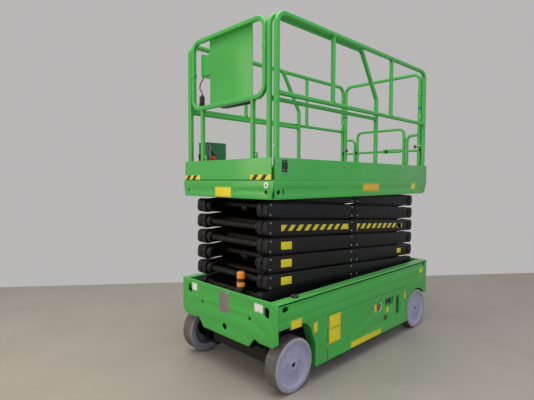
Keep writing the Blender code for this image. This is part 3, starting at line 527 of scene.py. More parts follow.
def front_bumper():
    """The front plate: its skirt's outline is drawn on one side and repeated on the other."""
    right = [(0.0, 0.312), (0.280, 0.312), (0.292, 0.316), (0.346, 0.380), (0.352, 0.3865)]
    right += [(0.376, 0.3850), (0.396, 0.372), (0.534, 0.372), (0.548, 0.377), (HALF_WIDTH, 0.410)]
    right += [(HALF_WIDTH, SKIN_TOP - 0.006), (HALF_WIDTH - 0.006, SKIN_TOP)]
    left = [(-x, z) for x, z in reversed(right[1:])]
    holes = [circle((0.0, 0.390), 0.026, 28)]
    for sign in (-1, 1):
        holes.append(circle((sign * BOLT_HOLE[0], BOLT_HOLE[1]), 0.014))
        slot = arc((sign * 0.485, 0.628), 0.026, 0, 180, 12) + arc((sign * 0.485, 0.600), 0.026, 180, 360, 12)
        holes.append(slot)
    return [sheet([right + left, *holes], "Y", FRONT_Y, FRONT_Y + PLATE, 0.0022)]


def rear_bumper():
    """The rear plate, with the ladder's step hole and two tow holes."""
    half = HALF_WIDTH
    rim = [(-half, 0.337), (-0.500, 0.337), (-0.500, 0.221), (-0.494, 0.215), (0.494, 0.215),
           (0.500, 0.221), (0.500, 0.337), (half, 0.337), (half, SKIN_TOP), (-half, SKIN_TOP)]
    holes = [soft_box((-0.150, 0.265), (0.150, 0.325), 0.012), circle((0.380, 0.590), 0.022),
             circle((-0.380, 0.590), 0.022)]
    return [sheet([rim, *holes], "Y", REAR_Y - PLATE, REAR_Y, 0.0022)]


piece("front_bumper", front_bumper(), GREEN, "chassis", "green", "front_plate")
piece("rear_bumper", rear_bumper(), GREEN, "chassis", "green", "rear_plate")

bumper_bolts = []
for sign in (-1, 1):
    for x, z in ((0.555, 0.470), (0.555, 0.560), BOLT_HOLE):
        bumper_bolts += hex_bolt((sign * x, REAR_Y - 0.001, z), (0, 1, 0), 0.016)
piece("bumper_bolts", bumper_bolts, ZINC, "chassis", "grey_steel")
# Black plates just behind the front plate's two bolt holes: painted shade, so the holes read dark.
bumper_hole_shades = []
for x in (-BOLT_HOLE[0], BOLT_HOLE[0]):
    low = (x - 0.026, FRONT_Y + PLATE + 0.0002, BOLT_HOLE[1] - 0.026)
    high = (x + 0.026, FRONT_Y + PLATE + 0.0030, BOLT_HOLE[1] + 0.026)
    bumper_hole_shades.append(slab(low, high, 0.001))
piece("bumper_hole_shade_backs", bumper_hole_shades, NYLON, "chassis", "black_plastic")


# Round rubber stops on the top flanges, which the lowest arms rest near when the platform is down.
def stop_rubber():
    """Black moulded rubber: matt, a little greyed with dust on top."""
    made, tree, shader = new_material("black_stop_rubber", "#1b1a1a", 0.78, 0.0, IOR=1.52)
    where = add(tree, "TexCoord").outputs["Object"]
    base = surface_tone(tree, "#161515", "#262423", 30.0, where)
    tree.links.new(dusted(tree, base, where, "#77716a", 0.5), shader.inputs["Base Color"])
    return made


RUBBER = stop_rubber()
stops = []
stop_profile = [(0, 0), (0, 0.031), (0.010, 0.031), (0.014, 0.027), (0.014, 0.009), (0.010, 0.007),
                (0.010, 0)]
for x in (-0.548, 0.548):
    stops.append(turned(stop_profile, (x, -0.960, SKIN_TOP - 0.0002), (0, 0, 1), 32))
piece("stop_rubbers", stops, RUBBER, "chassis", "black_plastic")


# ---------------------------------------------------------------- component trays and their doors
# Each side's tray carries its pack behind a plate door, hung on two pinned hinges at the door's front
# edge. The left door is cut for the charging socket, the ground controls and a tall switch recess.
DOOR_X = SKIN_OUT
TRAY_BOX = {"low": (0.335, -0.575, 0.145), "back": 0.343, "high": 0.430}
HINGE_HEIGHTS = (0.245, 0.424)
HINGE_AT, HINGE_HALF = (0.5918, -0.611), 0.025
SOCKET_RECESS = ((0.288, 0.364), (0.440, 0.438))
SWITCH_RECESS = ((0.500, 0.237), (0.560, 0.428))
KEY_RECESS = ((0.262, 0.226), (0.326, 0.274))
STOP_AT = (0.172, 0.385)    # ground emergency stop


def tray_shapes():
    """Door, floor, back and ends of a tray, folded from plate."""
    low, high = TRAY_BOX["low"], TRAY_BOX["high"]
    inner = SKIN_IN - 0.001
    rim = soft_box((DOOR_FRONT, SKIRT_LOW), (DOOR_REAR, DOOR_TOP), 0.004)
    holes = [soft_box(*SOCKET_RECESS, 0.006), soft_box(*SWITCH_RECESS, 0.006), soft_box(*KEY_RECESS, 0.005),
             circle(STOP_AT, 0.034, 32)]
    pans = [slab((SKIN_IN - 0.004, box[0][0] - 0.006, box[0][1] - 0.006),
                 (SKIN_IN - 0.001, box[1][0] + 0.006, box[1][1] + 0.006), 0.001)
            for box in (SOCKET_RECESS, SWITCH_RECESS, KEY_RECESS)]
    pans.append(drum((SKIN_IN - 0.004, *STOP_AT), (SKIN_IN - 0.001, *STOP_AT), 0.040, 0.001))
    return [sheet([rim, *holes], "X", SKIN_IN, DOOR_X, 0.0012), *pans,
            slab(low, (inner, 0.655, low[2] + 0.010), 0.002),
            slab((low[0], low[1], low[2]), (TRAY_BOX["back"], 0.655, high), 0.002),
            slab((low[0], low[1], low[2]), (inner, low[1] + 0.008, high), 0.002),
            slab((low[0], 0.647, low[2]), (inner, 0.655, high), 0.002)]


tray = tray_shapes()
piece("left_tray_and_door", tray, GREEN, "left_tray", "green", "left_tray")
piece("right_tray_and_door", mirrored(tray), GREEN, "right_tray", "green", "right_tray")

hinges = []
for height in HINGE_HEIGHTS:
    low, high = height - HINGE_HALF, height + HINGE_HALF
    hinges.append(drum((*HINGE_AT, low), (*HINGE_AT, high), 0.0034, 0.0006, 16))
    hinges.append(slab((0.5935, -0.606, height - 0.012), (0.5952, -0.580, height + 0.012), 0.0006))
piece("left_door_hinges", hinges, ZINC, "left_tray", "green")
piece("right_door_hinges", mirrored(hinges), ZINC, "right_tray", "green")


def signal_red():
    """Glossy signal-red polycarbonate, for the stop button and the key switch."""
    made, tree, shader = new_material("signal_red_polycarbonate", "#c3120f", 0.26, 0.0, IOR=1.58)
    where = add(tree, "TexCoord").outputs["Object"]
    tree.links.new(surface_tone(tree, "#b40f0d", "#cf1a15", 40.0, where), shader.inputs["Base Color"])
    return made


RED = signal_red()
CUP = 0.590                 # face of the fittings, just inside the door's face


def door_fittings(name, shapes, material, slot):
    """The same fittings on the left and the right door."""
    piece(f"left_{name}", shapes, material, "left_tray", slot)
    piece(f"right_{name}", mirrored(shapes), material, "right_tray", slot)


stop_button = turned([(0, 0), (0, 0.013), (0.004, 0.013), (0.005, 0.022), (0.009, 0.0235), (0.0115, 0.020),
                      (0.0125, 0.010), (0.0128, 0)], (SKIN_IN - 0.001, *STOP_AT), (1, 0, 0), 36)
key_switch = drum((SKIN_IN, 0.294, 0.250), (CUP, 0.294, 0.250), 0.013, 0.002)
door_fittings("stop_button", [stop_button, key_switch], RED, "amber")
fittings = [drum((SKIN_IN, 0.318, 0.404), (CUP, 0.318, 0.404), 0.024, 0.003, 32),
            slab((SKIN_IN, 0.358, 0.380), (CUP - 0.001, 0.404, 0.426), 0.004),
            slab((SKIN_IN, 0.515, 0.330), (CUP, 0.545, 0.410), 0.004),
            slab((SKIN_IN, 0.515, 0.255), (CUP, 0.545, 0.320), 0.004),
            slab((SKIN_IN, 0.268, 0.232), (SKIN_IN + 0.003, 0.320, 0.268), 0.001)]
door_fittings("door_switches", fittings, NYLON, "black_plastic")
latches = [drum((DOOR_X - 0.004, 0.670, z), (DOOR_X + 0.0003, 0.670, z), 0.011, 0.0008, 24)
           for z in (0.440, 0.300)]
door_fittings("door_latches", latches, ZINC, "chrome")


# ---------------------------------------------------------------- blank vinyl labels
# Die-cut vinyl stickers with rounded corners, printed one plain colour with a thin darker border.
# They sit 0.3 mm proud of the paint. The hazard bands are yellow with slanted black bars.
def vinyl(name, code_low, code_high):
    """Satin vinyl film: flat bright colour, slightly faded and rubbed in patches."""
    made, tree, shader = new_material(name, code_low, 0.40, 0.0, IOR=1.52)
    where = add(tree, "TexCoord").outputs["Object"]
    tree.links.new(surface_tone(tree, code_low, code_high, 16.0, where), shader.inputs["Base Color"])
    scuffs = add(tree, "TexNoise", {"Scale": 90.0, "Detail": 5.0}, {"Vector": where})
    rough = add(tree, "MapRange", {"To Min": 0.30, "To Max": 0.55}, {"Value": scuffs.outputs["Fac"]})
    tree.links.new(rough.outputs["Result"], shader.inputs["Roughness"])
    return made


YELLOW = vinyl("yellow_vinyl", "#e2cc08", "#eedb18")
BLACK_VINYL = vinyl("black_vinyl", "#131313", "#1f1f1f")
WHITE_VINYL = vinyl("white_vinyl", "#dfe3e2", "#f0f2f1")
ORANGE_VINYL = vinyl("orange_yellow_vinyl", "#dba61a", "#eaba2b")
FILM = 0.0003


def film(face, across, low, high, bend=0.006):
    """A sticker on the outer side of a face: low and high are two corners on that face."""
    inner, outer = sorted((face, face + math.copysign(FILM, face)))
    return sheet([soft_box(low, high, bend)], across, inner, outer, 0.0001)


def border(face, across, low, high, inset=0.005, wide=0.0016):
    """A thin printed line just inside a sticker's edge."""
    lift = math.copysign(FILM * 0.3, face)
    inner, outer = sorted((face + lift, face + math.copysign(FILM * 1.15, face)))
    rim = soft_box((low[0] + inset, low[1] + inset), (high[0] - inset, high[1] - inset), 0.004)
    inset += wide
    hole = soft_box((low[0] + inset, low[1] + inset), (high[0] - inset, high[1] - inset), 0.003)
    return sheet([rim, hole], across, inner, outer, 0.00005)


def stickers(name, face, across, boxes, body, slot, material=None, lined=True):
    """Blank stickers with a printed border, all on one face."""
    piece(name, [film(face, across, *box) for box in boxes], material or YELLOW, body, slot)
    if lined:
        lines = [border(face, across, *box) for box in boxes]
        piece(f"{name}_lines", lines, BLACK_VINYL, body, slot)


SKIN_LABELS = [((-1.051, 0.483), (-0.929, 0.548)), ((-0.788, 0.394), (-0.739, 0.474)),
               ((1.000, 0.572), (1.072, 0.622))]
BAND_LABELS = [((-0.592, 0.373), (-0.436, 0.480)), ((-0.592, 0.250), (-0.436, 0.366)),
               ((-0.284, 0.126), (0.215, 0.178)), ((0.094, 0.352), (0.130, 0.420)),
               ((0.314, 0.300), (0.352, 0.352)), ((0.668, 0.366), (0.700, 0.430))]
for side, sign in (("left", 1), ("right", -1)):
    face = sign * (DOOR_X - 0.0001)
    stickers(f"{side}_skin_labels", face, "X", SKIN_LABELS, "chassis", "green")
    stickers(f"{side}_door_labels", face, "X", BAND_LABELS, f"{side}_tray", "green")
    ring = arc((STOP_AT[0], STOP_AT[1]), 0.048, -75, 60, 18)
    ring += [p for p in reversed(arc((STOP_AT[0], STOP_AT[1]), 0.040, -75, 60, 18))]
    span = sorted((face, face + sign * FILM))
    piece(f"{side}_stop_mark", [sheet([ring], "X", *span, 0.0001)], WHITE_VINYL, f"{side}_tray", "green")
stickers("front_labels", FRONT_Y, "Y", [((0.352, 0.600), (0.446, 0.663)), ((-0.452, 0.606), (-0.376, 0.668))],
         "chassis", "green", WHITE_VINYL)


def anodised_plate():
    """Grey anodised aluminium data plate, blank, with a fine brushed grain along its length."""
    made, tree, shader = new_material("brushed_anodised_aluminium", "#9a8f92", 0.40, 0.7)
    where = add(tree, "TexCoord").outputs["Object"]
    along = add(tree, "Mapping", {"Scale": (8.0, 8.0, 900.0)}, {"Vector": where})
    grain = add(tree, "TexNoise", {"Scale": 4.0, "Detail": 3.0}, {"Vector": along.outputs["Vector"]})
    tone = add(tree, "MixRGB", {"Color1": (*linear("#8d8386"), 1), "Color2": (*linear("#a59b9e"), 1)},
               {"Fac": grain.outputs["Fac"]})
    tree.links.new(tone.outputs["Color"], shader.inputs["Base Color"])
    return made


data_plate = sheet([soft_box((-0.064, 0.504), (0.056, 0.672), 0.006)], "Y", FRONT_Y - 0.0012, FRONT_Y, 0.0003)
piece("data_plate", [data_plate], anodised_plate(), "chassis", "green")
rivets = [turned([(0, 0.0035), (0.0012, 0.003), (0.0018, 0)], (x, FRONT_Y - 0.001, z), (0, -1, 0), 12)
          for x in (-0.056, 0.048) for z in (0.512, 0.664)]
piece("data_plate_rivets", rivets, ZINC, "chassis", "green")


# ---------------------------------------------------------------- wheel arch liners and the rear ladder
# A thin rolled strip lines each front arch inboard of the skin, with a brass grease fitting under a small
# bracket. The ladder is two flat rails with folded, gripped treads, welded to the rear plate.
BRASS = new_material("aged_brass", "#a98b4a", 0.36, 1.0)[0]


def arch_liner():
    """The rolled strip, open below, as an outline extruded across the machine."""
    outer = arc((-0.945, 0.360), 0.149, 100, 12, 20) + [(-0.7612, 0.300), (-0.7612, 0.135)]
    inner = arc((-0.945, 0.360), 0.146, 100, 12, 20) + [(-0.7645, 0.300), (-0.7645, 0.135)]
    return sheet([outer + inner[::-1]], "X", 0.503, SKIN_IN - 0.0004, 0.0005)


liner = [arch_liner(), slab((0.545, -1.046, 0.484), (SKIN_IN - 0.0004, -1.014, 0.508), 0.002)]
piece("left_arch_liner", liner, GREEN, "chassis", "green")
piece("right_arch_liner", mirrored(liner), GREEN, "chassis", "green")
fitting = hex_bolt((0.566, -1.030, 0.486), (0, 0, -1), 0.015, 0.010)
nipple = [(0, 0), (0, 0.004), (0.006, 0.0035), (0.008, 0)]
fitting.append(turned(nipple, (0.566, -1.030, 0.476), (0, 0, -1), 12))
piece("grease_fittings", fitting + mirrored(fitting), BRASS, "chassis", "chrome")


STEP_LOW, STEP_RISE, STEPS = 0.440, 0.215, 5
GRIPS, GRIP_PITCH = 13, 0.025


def ladder_shapes():
    """Rails and treads of the ladder; each tread is a channel with a row of raised grips."""
    low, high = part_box("boarding_ladder")
    rails = []
    for sign in (-1, 1):
        span = sorted((sign * 0.185, sign * 0.210))
        rails.append(slab((span[0], low.y + 0.0003, low.z), (span[1], high.y, high.z), 0.003))
    for step in range(STEPS):
        z = STEP_LOW + STEP_RISE * step
        rails.append(slab((-0.187, low.y + 0.001, z), (0.187, high.y - 0.001, z + 0.023), 0.004))
        for index in range(GRIPS):
            x = GRIP_PITCH * (index - (GRIPS - 1) / 2)
            start, end = (x - 0.003, low.y + 0.004, z + 0.022), (x + 0.003, high.y - 0.004, z + 0.0249)
            rails.append(slab(start, end, 0.0008, 1))
    return rails


piece("ladder_rails_and_treads", ladder_shapes(), GREEN, "chassis", "green", "boarding_ladder")


# ---------------------------------------------------------------- beacon
# Amber warning light: a ribbed translucent cap over a black base, on a black bracket at the front edge.
BEACON_AT = (0.155, -1.150)
BRACKET_TOP = 0.7215


def amber_lens():
    """Tinted polycarbonate: a saturated amber, with a faint painted glow (emission) that stands in for light
    passing through it.
    """
    made, tree, shader = new_material("amber_polycarbonate", "#e8860c", 0.16, 0.0, IOR=1.58,
                                      Transmission_Weight=0.25, Coat_Weight=0.4, Coat_Roughness=0.08)
    # a faint emission: painted glow, as if light were passing through the lens
    shader.inputs["Emission Color"].default_value = (*linear("#f08c10"), 1.0)
    shader.inputs["Emission Strength"].default_value = 0.18
    where = add(tree, "TexCoord").outputs["Object"]
    tree.links.new(surface_tone(tree, "#e07c08", "#f09a1a", 40.0, where), shader.inputs["Base Color"])
    return made


AMBER = amber_lens()
lens_rise = [(0, 0), (0, 0.030), (0.002, 0.031)]
for rib in range(8):
    start = 0.008 + 0.012 * rib
    lens_rise += [(start, 0.031), (start + 0.002, 0.0296), (start + 0.004, 0.031)]
lens_rise += [(0.105, 0.031), (0.112, 0.028), (0.1172, 0.020), (0.1180, 0.008), (0.1180, 0)]
lens = turned(lens_rise, (*BEACON_AT, BRACKET_TOP + 0.020), (0, 0, 1), 48)
piece("beacon_lens", [lens], AMBER, "chassis", "amber", "beacon")
cup = [(0, 0), (0, 0.034), (0.014, 0.034), (0.021, 0.0315), (0.021, 0)]
band = [(0, 0.0295), (0, 0.0325), (0.028, 0.0325), (0.028, 0.0295)]
rings = [turned(profile, (*BEACON_AT, z), (0, 0, 1), 40)
         for profile, z in ((cup, BRACKET_TOP), (band, 0.778))]
piece("beacon_base_and_band", rings, NYLON, "chassis", "black_plastic")
foot = [slab((0.120, -1.183, SKIN_TOP + 0.0003), (0.190, -1.122, BRACKET_TOP), 0.003)]
for x in (0.131, 0.179):
    foot += hex_bolt((x, -1.132, BRACKET_TOP - 0.0002), (0, 0, 1), 0.009, 0.005)
piece("beacon_bracket", foot, BLACK, "chassis", "black_paint")


# ---------------------------------------------------------------- wheels
# Solid non-marking tyres, moulded in grey rubber with rounded shoulders and pressed onto steel wheels.
# The wheel's disc is painted a pale lilac grey and shows a rolled rim, a hub hole and five studs.
TYRE_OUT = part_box("left_front_tyre")[1].x
TYRE_WIDE = 0.127
BEAD = 0.1722               # where the wheel's rolled lip meets the sidewall
STUD_CIRCLE = 0.068


def grey_rubber():
    """Non-marking rubber on the sidewalls: matt, pale warm grey, lightly smudged."""
    made, tree, shader = new_material("grey_non_marking_rubber", "#a5a0a6", 0.70, 0.0, IOR=1.52)
    where = add(tree, "TexCoord").outputs["Object"]
    base = surface_tone(tree, "#8f8a93", "#aba6b0", 14.0, where)
    base = dusted(tree, base, where, "#8a8378", 0.5)
    tree.links.new(base, shader.inputs["Base Color"])
    return made


def scuffed_tread():
    """The same rubber where it rolls: browner and darker with floor dirt, scored by pale scuffs
    that run across it, and rougher."""
    made, tree, shader = new_material("scuffed_rubber_tread", "#77716e", 0.82, 0.0, IOR=1.52)
    where = add(tree, "TexCoord").outputs["Object"]
    base = surface_tone(tree, "#4e4946", "#6a6462", 22.0, where)
    cracks = add(tree, "TexVoronoi", {"feature": "DISTANCE_TO_EDGE", "Scale": 26.0}, {"Vector": where})
    lines = add(tree, "MapRange", {"From Min": 0.0, "From Max": 0.05, "To Min": 0.75, "To Max": 0.0},
                {"Value": cracks.outputs["Distance"]})
    broken = add(tree, "TexNoise", {"Scale": 18.0, "Detail": 3.0}, {"Vector": where})
    cut = add(tree, "MapRange", {"From Min": 0.48, "From Max": 0.60}, {"Value": broken.outputs["Fac"]})
    much = add(tree, "Math", {"operation": "MULTIPLY"},
               {0: lines.outputs["Result"], 1: cut.outputs["Result"]})
    base = add(tree, "MixRGB", {"Color2": (*linear("#98918e"), 1)},
               {"Fac": much.outputs["Value"], "Color1": base}).outputs["Color"]
    tree.links.new(base, shader.inputs["Base Color"])
    pits = add(tree, "TexNoise", {"Scale": 120.0, "Detail": 6.0, "Roughness": 0.7}, {"Vector": where})
    bump = add(tree, "Bump", {"Strength": 0.5, "Distance": 0.0015}, {"Height": pits.outputs["Fac"]})
    tree.links.new(bump.outputs["Normal"], shader.inputs["Normal"])
    return made


def lilac_enamel():
    """Pale lilac-grey enamel on pressed steel: satin, smudged and rubbed with tyre dust."""
    made, tree, shader = new_material("lilac_grey_enamel", "#9d9fb8", 0.42, 0.0, IOR=1.5)
    where = add(tree, "TexCoord").outputs["Object"]
    base = surface_tone(tree, "#8f91ab", "#a9abc3", 9.0, where)
    marks = add(tree, "TexNoise", {"Scale": 34.0, "Detail": 7.0, "Roughness": 0.75}, {"Vector": where})
    dirt = add(tree, "MapRange", {"From Min": 0.55, "From Max": 0.72, "To Max": 0.45},
               {"Value": marks.outputs["Fac"]})
    base = add(tree, "MixRGB", {"Color2": (*linear("#77777f"), 1)},
               {"Fac": dirt.outputs["Result"], "Color1": base}).outputs["Color"]
    tree.links.new(base, shader.inputs["Base Color"])
    rough = add(tree, "MapRange", {"To Min": 0.34, "To Max": 0.58}, {"Value": marks.outputs["Fac"]})
    tree.links.new(rough.outputs["Result"], shader.inputs["Roughness"])
    return made


SIDEWALL = grey_rubber()
TREAD = scuffed_tread()
WHEEL_PAINT = lilac_enamel()
# near-black and matt: painted shade for the inside of the wheels' hub bores
SHADOW_HOLE = new_material("painted_shade_hub_bore", "#0c0c0d", 0.9)[0]


def wheel_shapes(y):
    """Sidewalls, tread, painted wheel, studs and a near-black disc of painted shade in the hub bore, all
    turned about the axle.
    """
    inner = TYRE_OUT - TYRE_WIDE
    base = (inner, y, WHEEL_RADIUS)
    wide = TYRE_WIDE
    sidewalls = [(0.0030, BEAD), (0.0008, 0.1745), (0, 0.180), (0.0008, 0.188), (0.003, 0.1945),
                 (0.008, 0.199)]
    sidewalls += [(wide - t, r) for t, r in reversed(sidewalls)] + [sidewalls[0]]
    tread = [(0.0075, 0.1965), (0.0078, 0.1992), (0.011, 0.2016), (0.017, 0.2029), (0.024, 0.203)]
    tread += [(wide - t, r) for t, r in reversed(tread)] + [tread[0]]
    rim = [(0.010, 0.140), (0.006, 0.150), (0.006, BEAD - 0.0006), (wide - 0.0045, BEAD - 0.0006),
           (wide - 0.0030, 0.1695), (wide - 0.0035, 0.1640), (wide - 0.0100, 0.1575), (wide - 0.0150, 0.1500),
           (wide - 0.0185, 0.1300), (wide - 0.0190, 0.098),
           (wide - 0.0165, 0.090), (wide - 0.0165, 0.046), (wide - 0.0125, 0.040), (wide - 0.0120, 0.022),
           (wide - 0.0140, 0.0185), (wide - 0.0250, 0.0185), (wide - 0.0262, 0.034), (wide - 0.0300, 0.110),
           (wide - 0.0340, 0.134), (wide - 0.050, 0.140), (0.010, 0.140)]
    studs = []
    stud = [(0, 0), (0, 0.0085), (0.005, 0.008), (0.0065, 0.005), (0.0065, 0)]
    for y_at, z_at in arc((y, WHEEL_RADIUS), STUD_CIRCLE, 90, 90 + 72 * 4, 4):
        studs.append(turned(stud, (TYRE_OUT - 0.0172, y_at, z_at), (1, 0, 0), 6))
    # a near-black disc just inside the hub hole: painted shade, so the bore reads dark
    bore = drum((TYRE_OUT - 0.0262, y, WHEEL_RADIUS), (TYRE_OUT - 0.0215, y, WHEEL_RADIUS), 0.0184, 0.0003)
    rings = [turned(profile, base, (1, 0, 0), 96) for profile in (sidewalls, tread)]
    return *rings, turned(rim, base, (1, 0, 0), 80), studs, bore


for place, wheel_y in (("front", FRONT_AXLE_Y), ("rear", REAR_AXLE_Y)):
    sidewalls, tread, rim, studs, bore = wheel_shapes(wheel_y)
    for side in ("left", "right"):
        turn = mirrored if side == "right" else list
        wheel = f"{side}_{place}_wheel"
        piece(f"{wheel}_sidewalls", turn([sidewalls]), SIDEWALL, wheel, "rubber", f"{side}_{place}_tyre")
        piece(f"{wheel}_tread", turn([tread]), TREAD, wheel, "rubber")
        piece(f"{wheel}_disc", turn([rim]), WHEEL_PAINT, wheel, "rim", f"{side}_{place}_rim")
        piece(f"{wheel}_studs", turn(studs), ZINC, wheel, "chrome")
        piece(f"{wheel}_bore", turn([bore]), SHADOW_HOLE, wheel, "rim")


def hard_chrome():
    """Hard chrome on the cylinders' rods: a bright mirror with a thin oil haze."""
    made, tree, shader = new_material("hard_chrome", "#c9ccd0", 0.10, 1.0)
    where = add(tree, "TexCoord").outputs["Object"]
    haze = add(tree, "TexNoise", {"Scale": 24.0, "Detail": 4.0}, {"Vector": where})
    rough = add(tree, "MapRange", {"To Min": 0.07, "To Max": 0.20}, {"Value": haze.outputs["Fac"]})
    tree.links.new(rough.outputs["Result"], shader.inputs["Roughness"])
    return made


CHROME = hard_chrome()
refinish("steer_rod", CHROME)


# ---------------------------------------------------------------- scissor arms
# Six levels of crossed arms in rectangular tube, an outer and an inner welded frame each. The pins
# run in bushed bosses, held by a bolted keeper at each arm's end, and all of it is satin black.
PIN_FRONT_Y, PIN_REAR_Y, MIDDLE_Y = -1.085, 1.065, -0.010
PIN_LOW_Z, PITCH = 0.672, 0.1354
HALF_DEPTH = 0.058
OUTER_X = (0.385, 0.435)
INNER_X = (0.325, 0.377)
OPEN_FRONTS = (2, 5)        # levels whose front tube is left out, because a lift rod passes there
ARM_TILT = math.atan2(PITCH, PIN_REAR_Y - PIN_FRONT_Y)
TUBE_REACH = 0.93           # from an arm's middle pin along it to the cylinders' cross tubes
LEVELS = 6


def row_z(row):
    """Height of a row of end pins, from 0 at the chassis to 6 at the platform."""
    return PIN_LOW_Z + PITCH * row


def arm_box(span, start, end):
    """One arm between two pins: a box section with softened edges and blunt rounded ends."""
    low, high = sorted((Vector((0, *start)), Vector((0, *end))), key=lambda p: p.y)
    run = (high - low).normalized()
    up = Vector((0, -run.z, run.y))
    corners = [low - run * HALF_DEPTH - up * HALF_DEPTH, high + run * HALF_DEPTH - up * HALF_DEPTH,
               high + run * HALF_DEPTH + up * HALF_DEPTH, low - run * HALF_DEPTH + up * HALF_DEPTH]
    path = rounded(corners, 0.034, 8, closed=True)
    return sheet([[(p.y, p.z) for p in path]], "X", *span, 0.0045)


def ring(x, centre, long, radius, bore=0.0):
    """A turned collar along X, with an optional hole through it."""
    edge = 0.0015
    profile = [(0, bore), (0, radius - edge), (edge, radius), (long - edge, radius),
               (long, radius - edge), (long, bore)]
    if bore:
        profile.append((0, bore))
    return turned(profile, (x, *centre), (1, 0, 0), 28)


def tube_across(centre, half, radius=0.025):
    """A cross tube with a weld bead where it meets the arms."""
    pieces = [drum((-half, *centre), (half, *centre), radius, 0.001, 28)]
    for sign in (-1, 1):
        x = sign * INNER_X[0]
        bead = [(0, radius), (0, radius + 0.005), (0.004, radius + 0.0035), (0.008, radius)]
        pieces.append(turned(bead, (x, *centre), (-sign, 0, 0), 28))
    return pieces


def keeper_bolts(centre, tilt):
    """Two bolt heads, one over the other, on the outer face by an arm's end or middle."""
    shapes = []
    head = [(0, 0), (0, 0.0075), (0.0035, 0.0075), (0.0045, 0.006), (0.0045, 0)]
    for rise in (-0.037, 0.037):
        spot = (OUTER_X[1] - 0.0005, centre[0] - rise * math.sin(tilt), centre[1] + rise * math.cos(tilt))
        shapes.append(turned(head, spot, (1, 0, 0), 6))
    return shapes


def outer_level(level):
    """Both outer arms of a level with their pin tubes, bosses and collars."""
    low, high = (PIN_REAR_Y, row_z(level - 1)), (PIN_FRONT_Y, row_z(level))
    middle = (MIDDLE_Y, row_z(level - 0.5))
    arm = arm_box(OUTER_X, low, high)
    shapes = [arm]
    shapes.append(ring(OUTER_X[1] - 0.002, low, 0.010, 0.043))
    shapes.append(ring(OUTER_X[1] - 0.002, low, 0.014, 0.024))
    shapes.append(ring(OUTER_X[1] - 0.002, middle, 0.006, 0.040, 0.031))
    both = shapes + mirrored(shapes)
    both += tube_across(low, OUTER_X[0] + 0.004)
    if level in OPEN_FRONTS:
        for sign in (-1, 1):
            stub_end = sign * (OUTER_X[0] + 0.004)
            both.append(drum((sign * 0.290, *high), (stub_end, *high), 0.025, 0.002, 28))
    else:
        reach = 0.506 if level == LEVELS else OUTER_X[0] + 0.004
        both += tube_across(high, reach)
        collars = [drum((x, *high), (x + 0.014, *high), 0.0285, 0.0015, 28) for x in (0.196, 0.086)]
        both += collars + mirrored(collars)
    if level == LEVELS:
        roller = [drum((0.456, *high), (0.510, *high), 0.032, 0.003, 40)]
        both += roller + mirrored(roller)
    return both


def inner_level(level):
    """Both inner arms of a level with their cross tubes and the stub pins at the middle."""
    low, high = (PIN_FRONT_Y, row_z(level - 1)), (PIN_REAR_Y, row_z(level))
    middle = (MIDDLE_Y, row_z(level - 0.5))
    shapes = [arm_box(INNER_X, low, high)]
    shapes.append(drum((INNER_X[1] - 0.004, *middle), (OUTER_X[1] - 0.001, *middle), 0.030, 0.002, 32))
    shapes.append(ring(INNER_X[0] - 0.012, low, 0.014, 0.043, 0.0285))
    shapes.append(ring(INNER_X[0] - 0.012, high, 0.014, 0.043, 0.0285))
    both = shapes + mirrored(shapes)
    for sign in (-1, 1):
        reach = sign * TUBE_REACH
        centre = (middle[0] + reach * math.cos(ARM_TILT), middle[1] + reach * math.sin(ARM_TILT))
        if sign > 0 or level > 1:
            both += tube_across(centre, INNER_X[0] + 0.004)
    if level == 1:
        both += tube_across(low, INNER_X[0] + 0.004)
        roller = [drum((0.270, *low), (0.314, *low), 0.034, 0.003, 40)]
        both += roller + mirrored(roller)
    if level == LEVELS:
        both += tube_across(high, INNER_X[0] + 0.004)
    return both


for level in range(1, LEVELS + 1):
    piece(f"outer_arm_frame_{level}", outer_level(level), BLACK, f"outer_arms_{level}", "black_paint",
          f"outer_arms_{level}")
    piece(f"inner_arm_frame_{level}", inner_level(level), BLACK, f"inner_arms_{level}", "black_paint",
          f"inner_arms_{level}")
    heads = keeper_bolts((-1.105, row_z(level) + 0.0012), -ARM_TILT)
    heads += keeper_bolts((MIDDLE_Y - 0.045, row_z(level - 0.5) + 0.0028), -ARM_TILT)
    heads += keeper_bolts((MIDDLE_Y + 0.045, row_z(level - 0.5) - 0.0028), -ARM_TILT)[:1]
    piece(f"keeper_bolts_{level}", heads + mirrored(heads), ZINC, f"outer_arms_{level}", "chrome")


def on_arm(level, y_low, y_high, half_tall, shift=0.0):
    """A label's outline on an outer arm's face, turned to lie along the arm."""
    def height(y):
        share = (y - PIN_FRONT_Y) / (PIN_REAR_Y - PIN_FRONT_Y)
        return row_z(level) - PITCH * share + shift
    return [(y_low, height(y_low) - half_tall), (y_high, height(y_high) - half_tall),
            (y_high, height(y_high) + half_tall), (y_low, height(y_low) + half_tall)]


def arm_labels(name, level, outlines, material, proud=0.0005):
    """Stickers of these outlines on both outer arms of a level."""
    shapes = [sheet([outline], "X", OUTER_X[1] - 0.0002, OUTER_X[1] + proud, 0.0001) for outline in outlines]
    piece(name, shapes + mirrored(shapes), material, f"outer_arms_{level}", "black_paint")


def slanted_bars(level, y_low, y_high, half_tall, pitch=0.098, lean=0.046):
    """Black bars across a yellow band, cut square at its ends."""
    bars = []
    spot = y_low + 0.022
    while spot + pitch * 0.5 + lean < y_high:
        foot = on_arm(level, spot, spot + pitch * 0.5, half_tall)
        bars.append(foot[:2] + [(y + lean, z - 0.0029) for y, z in foot[2:]])
        spot += pitch
    return bars


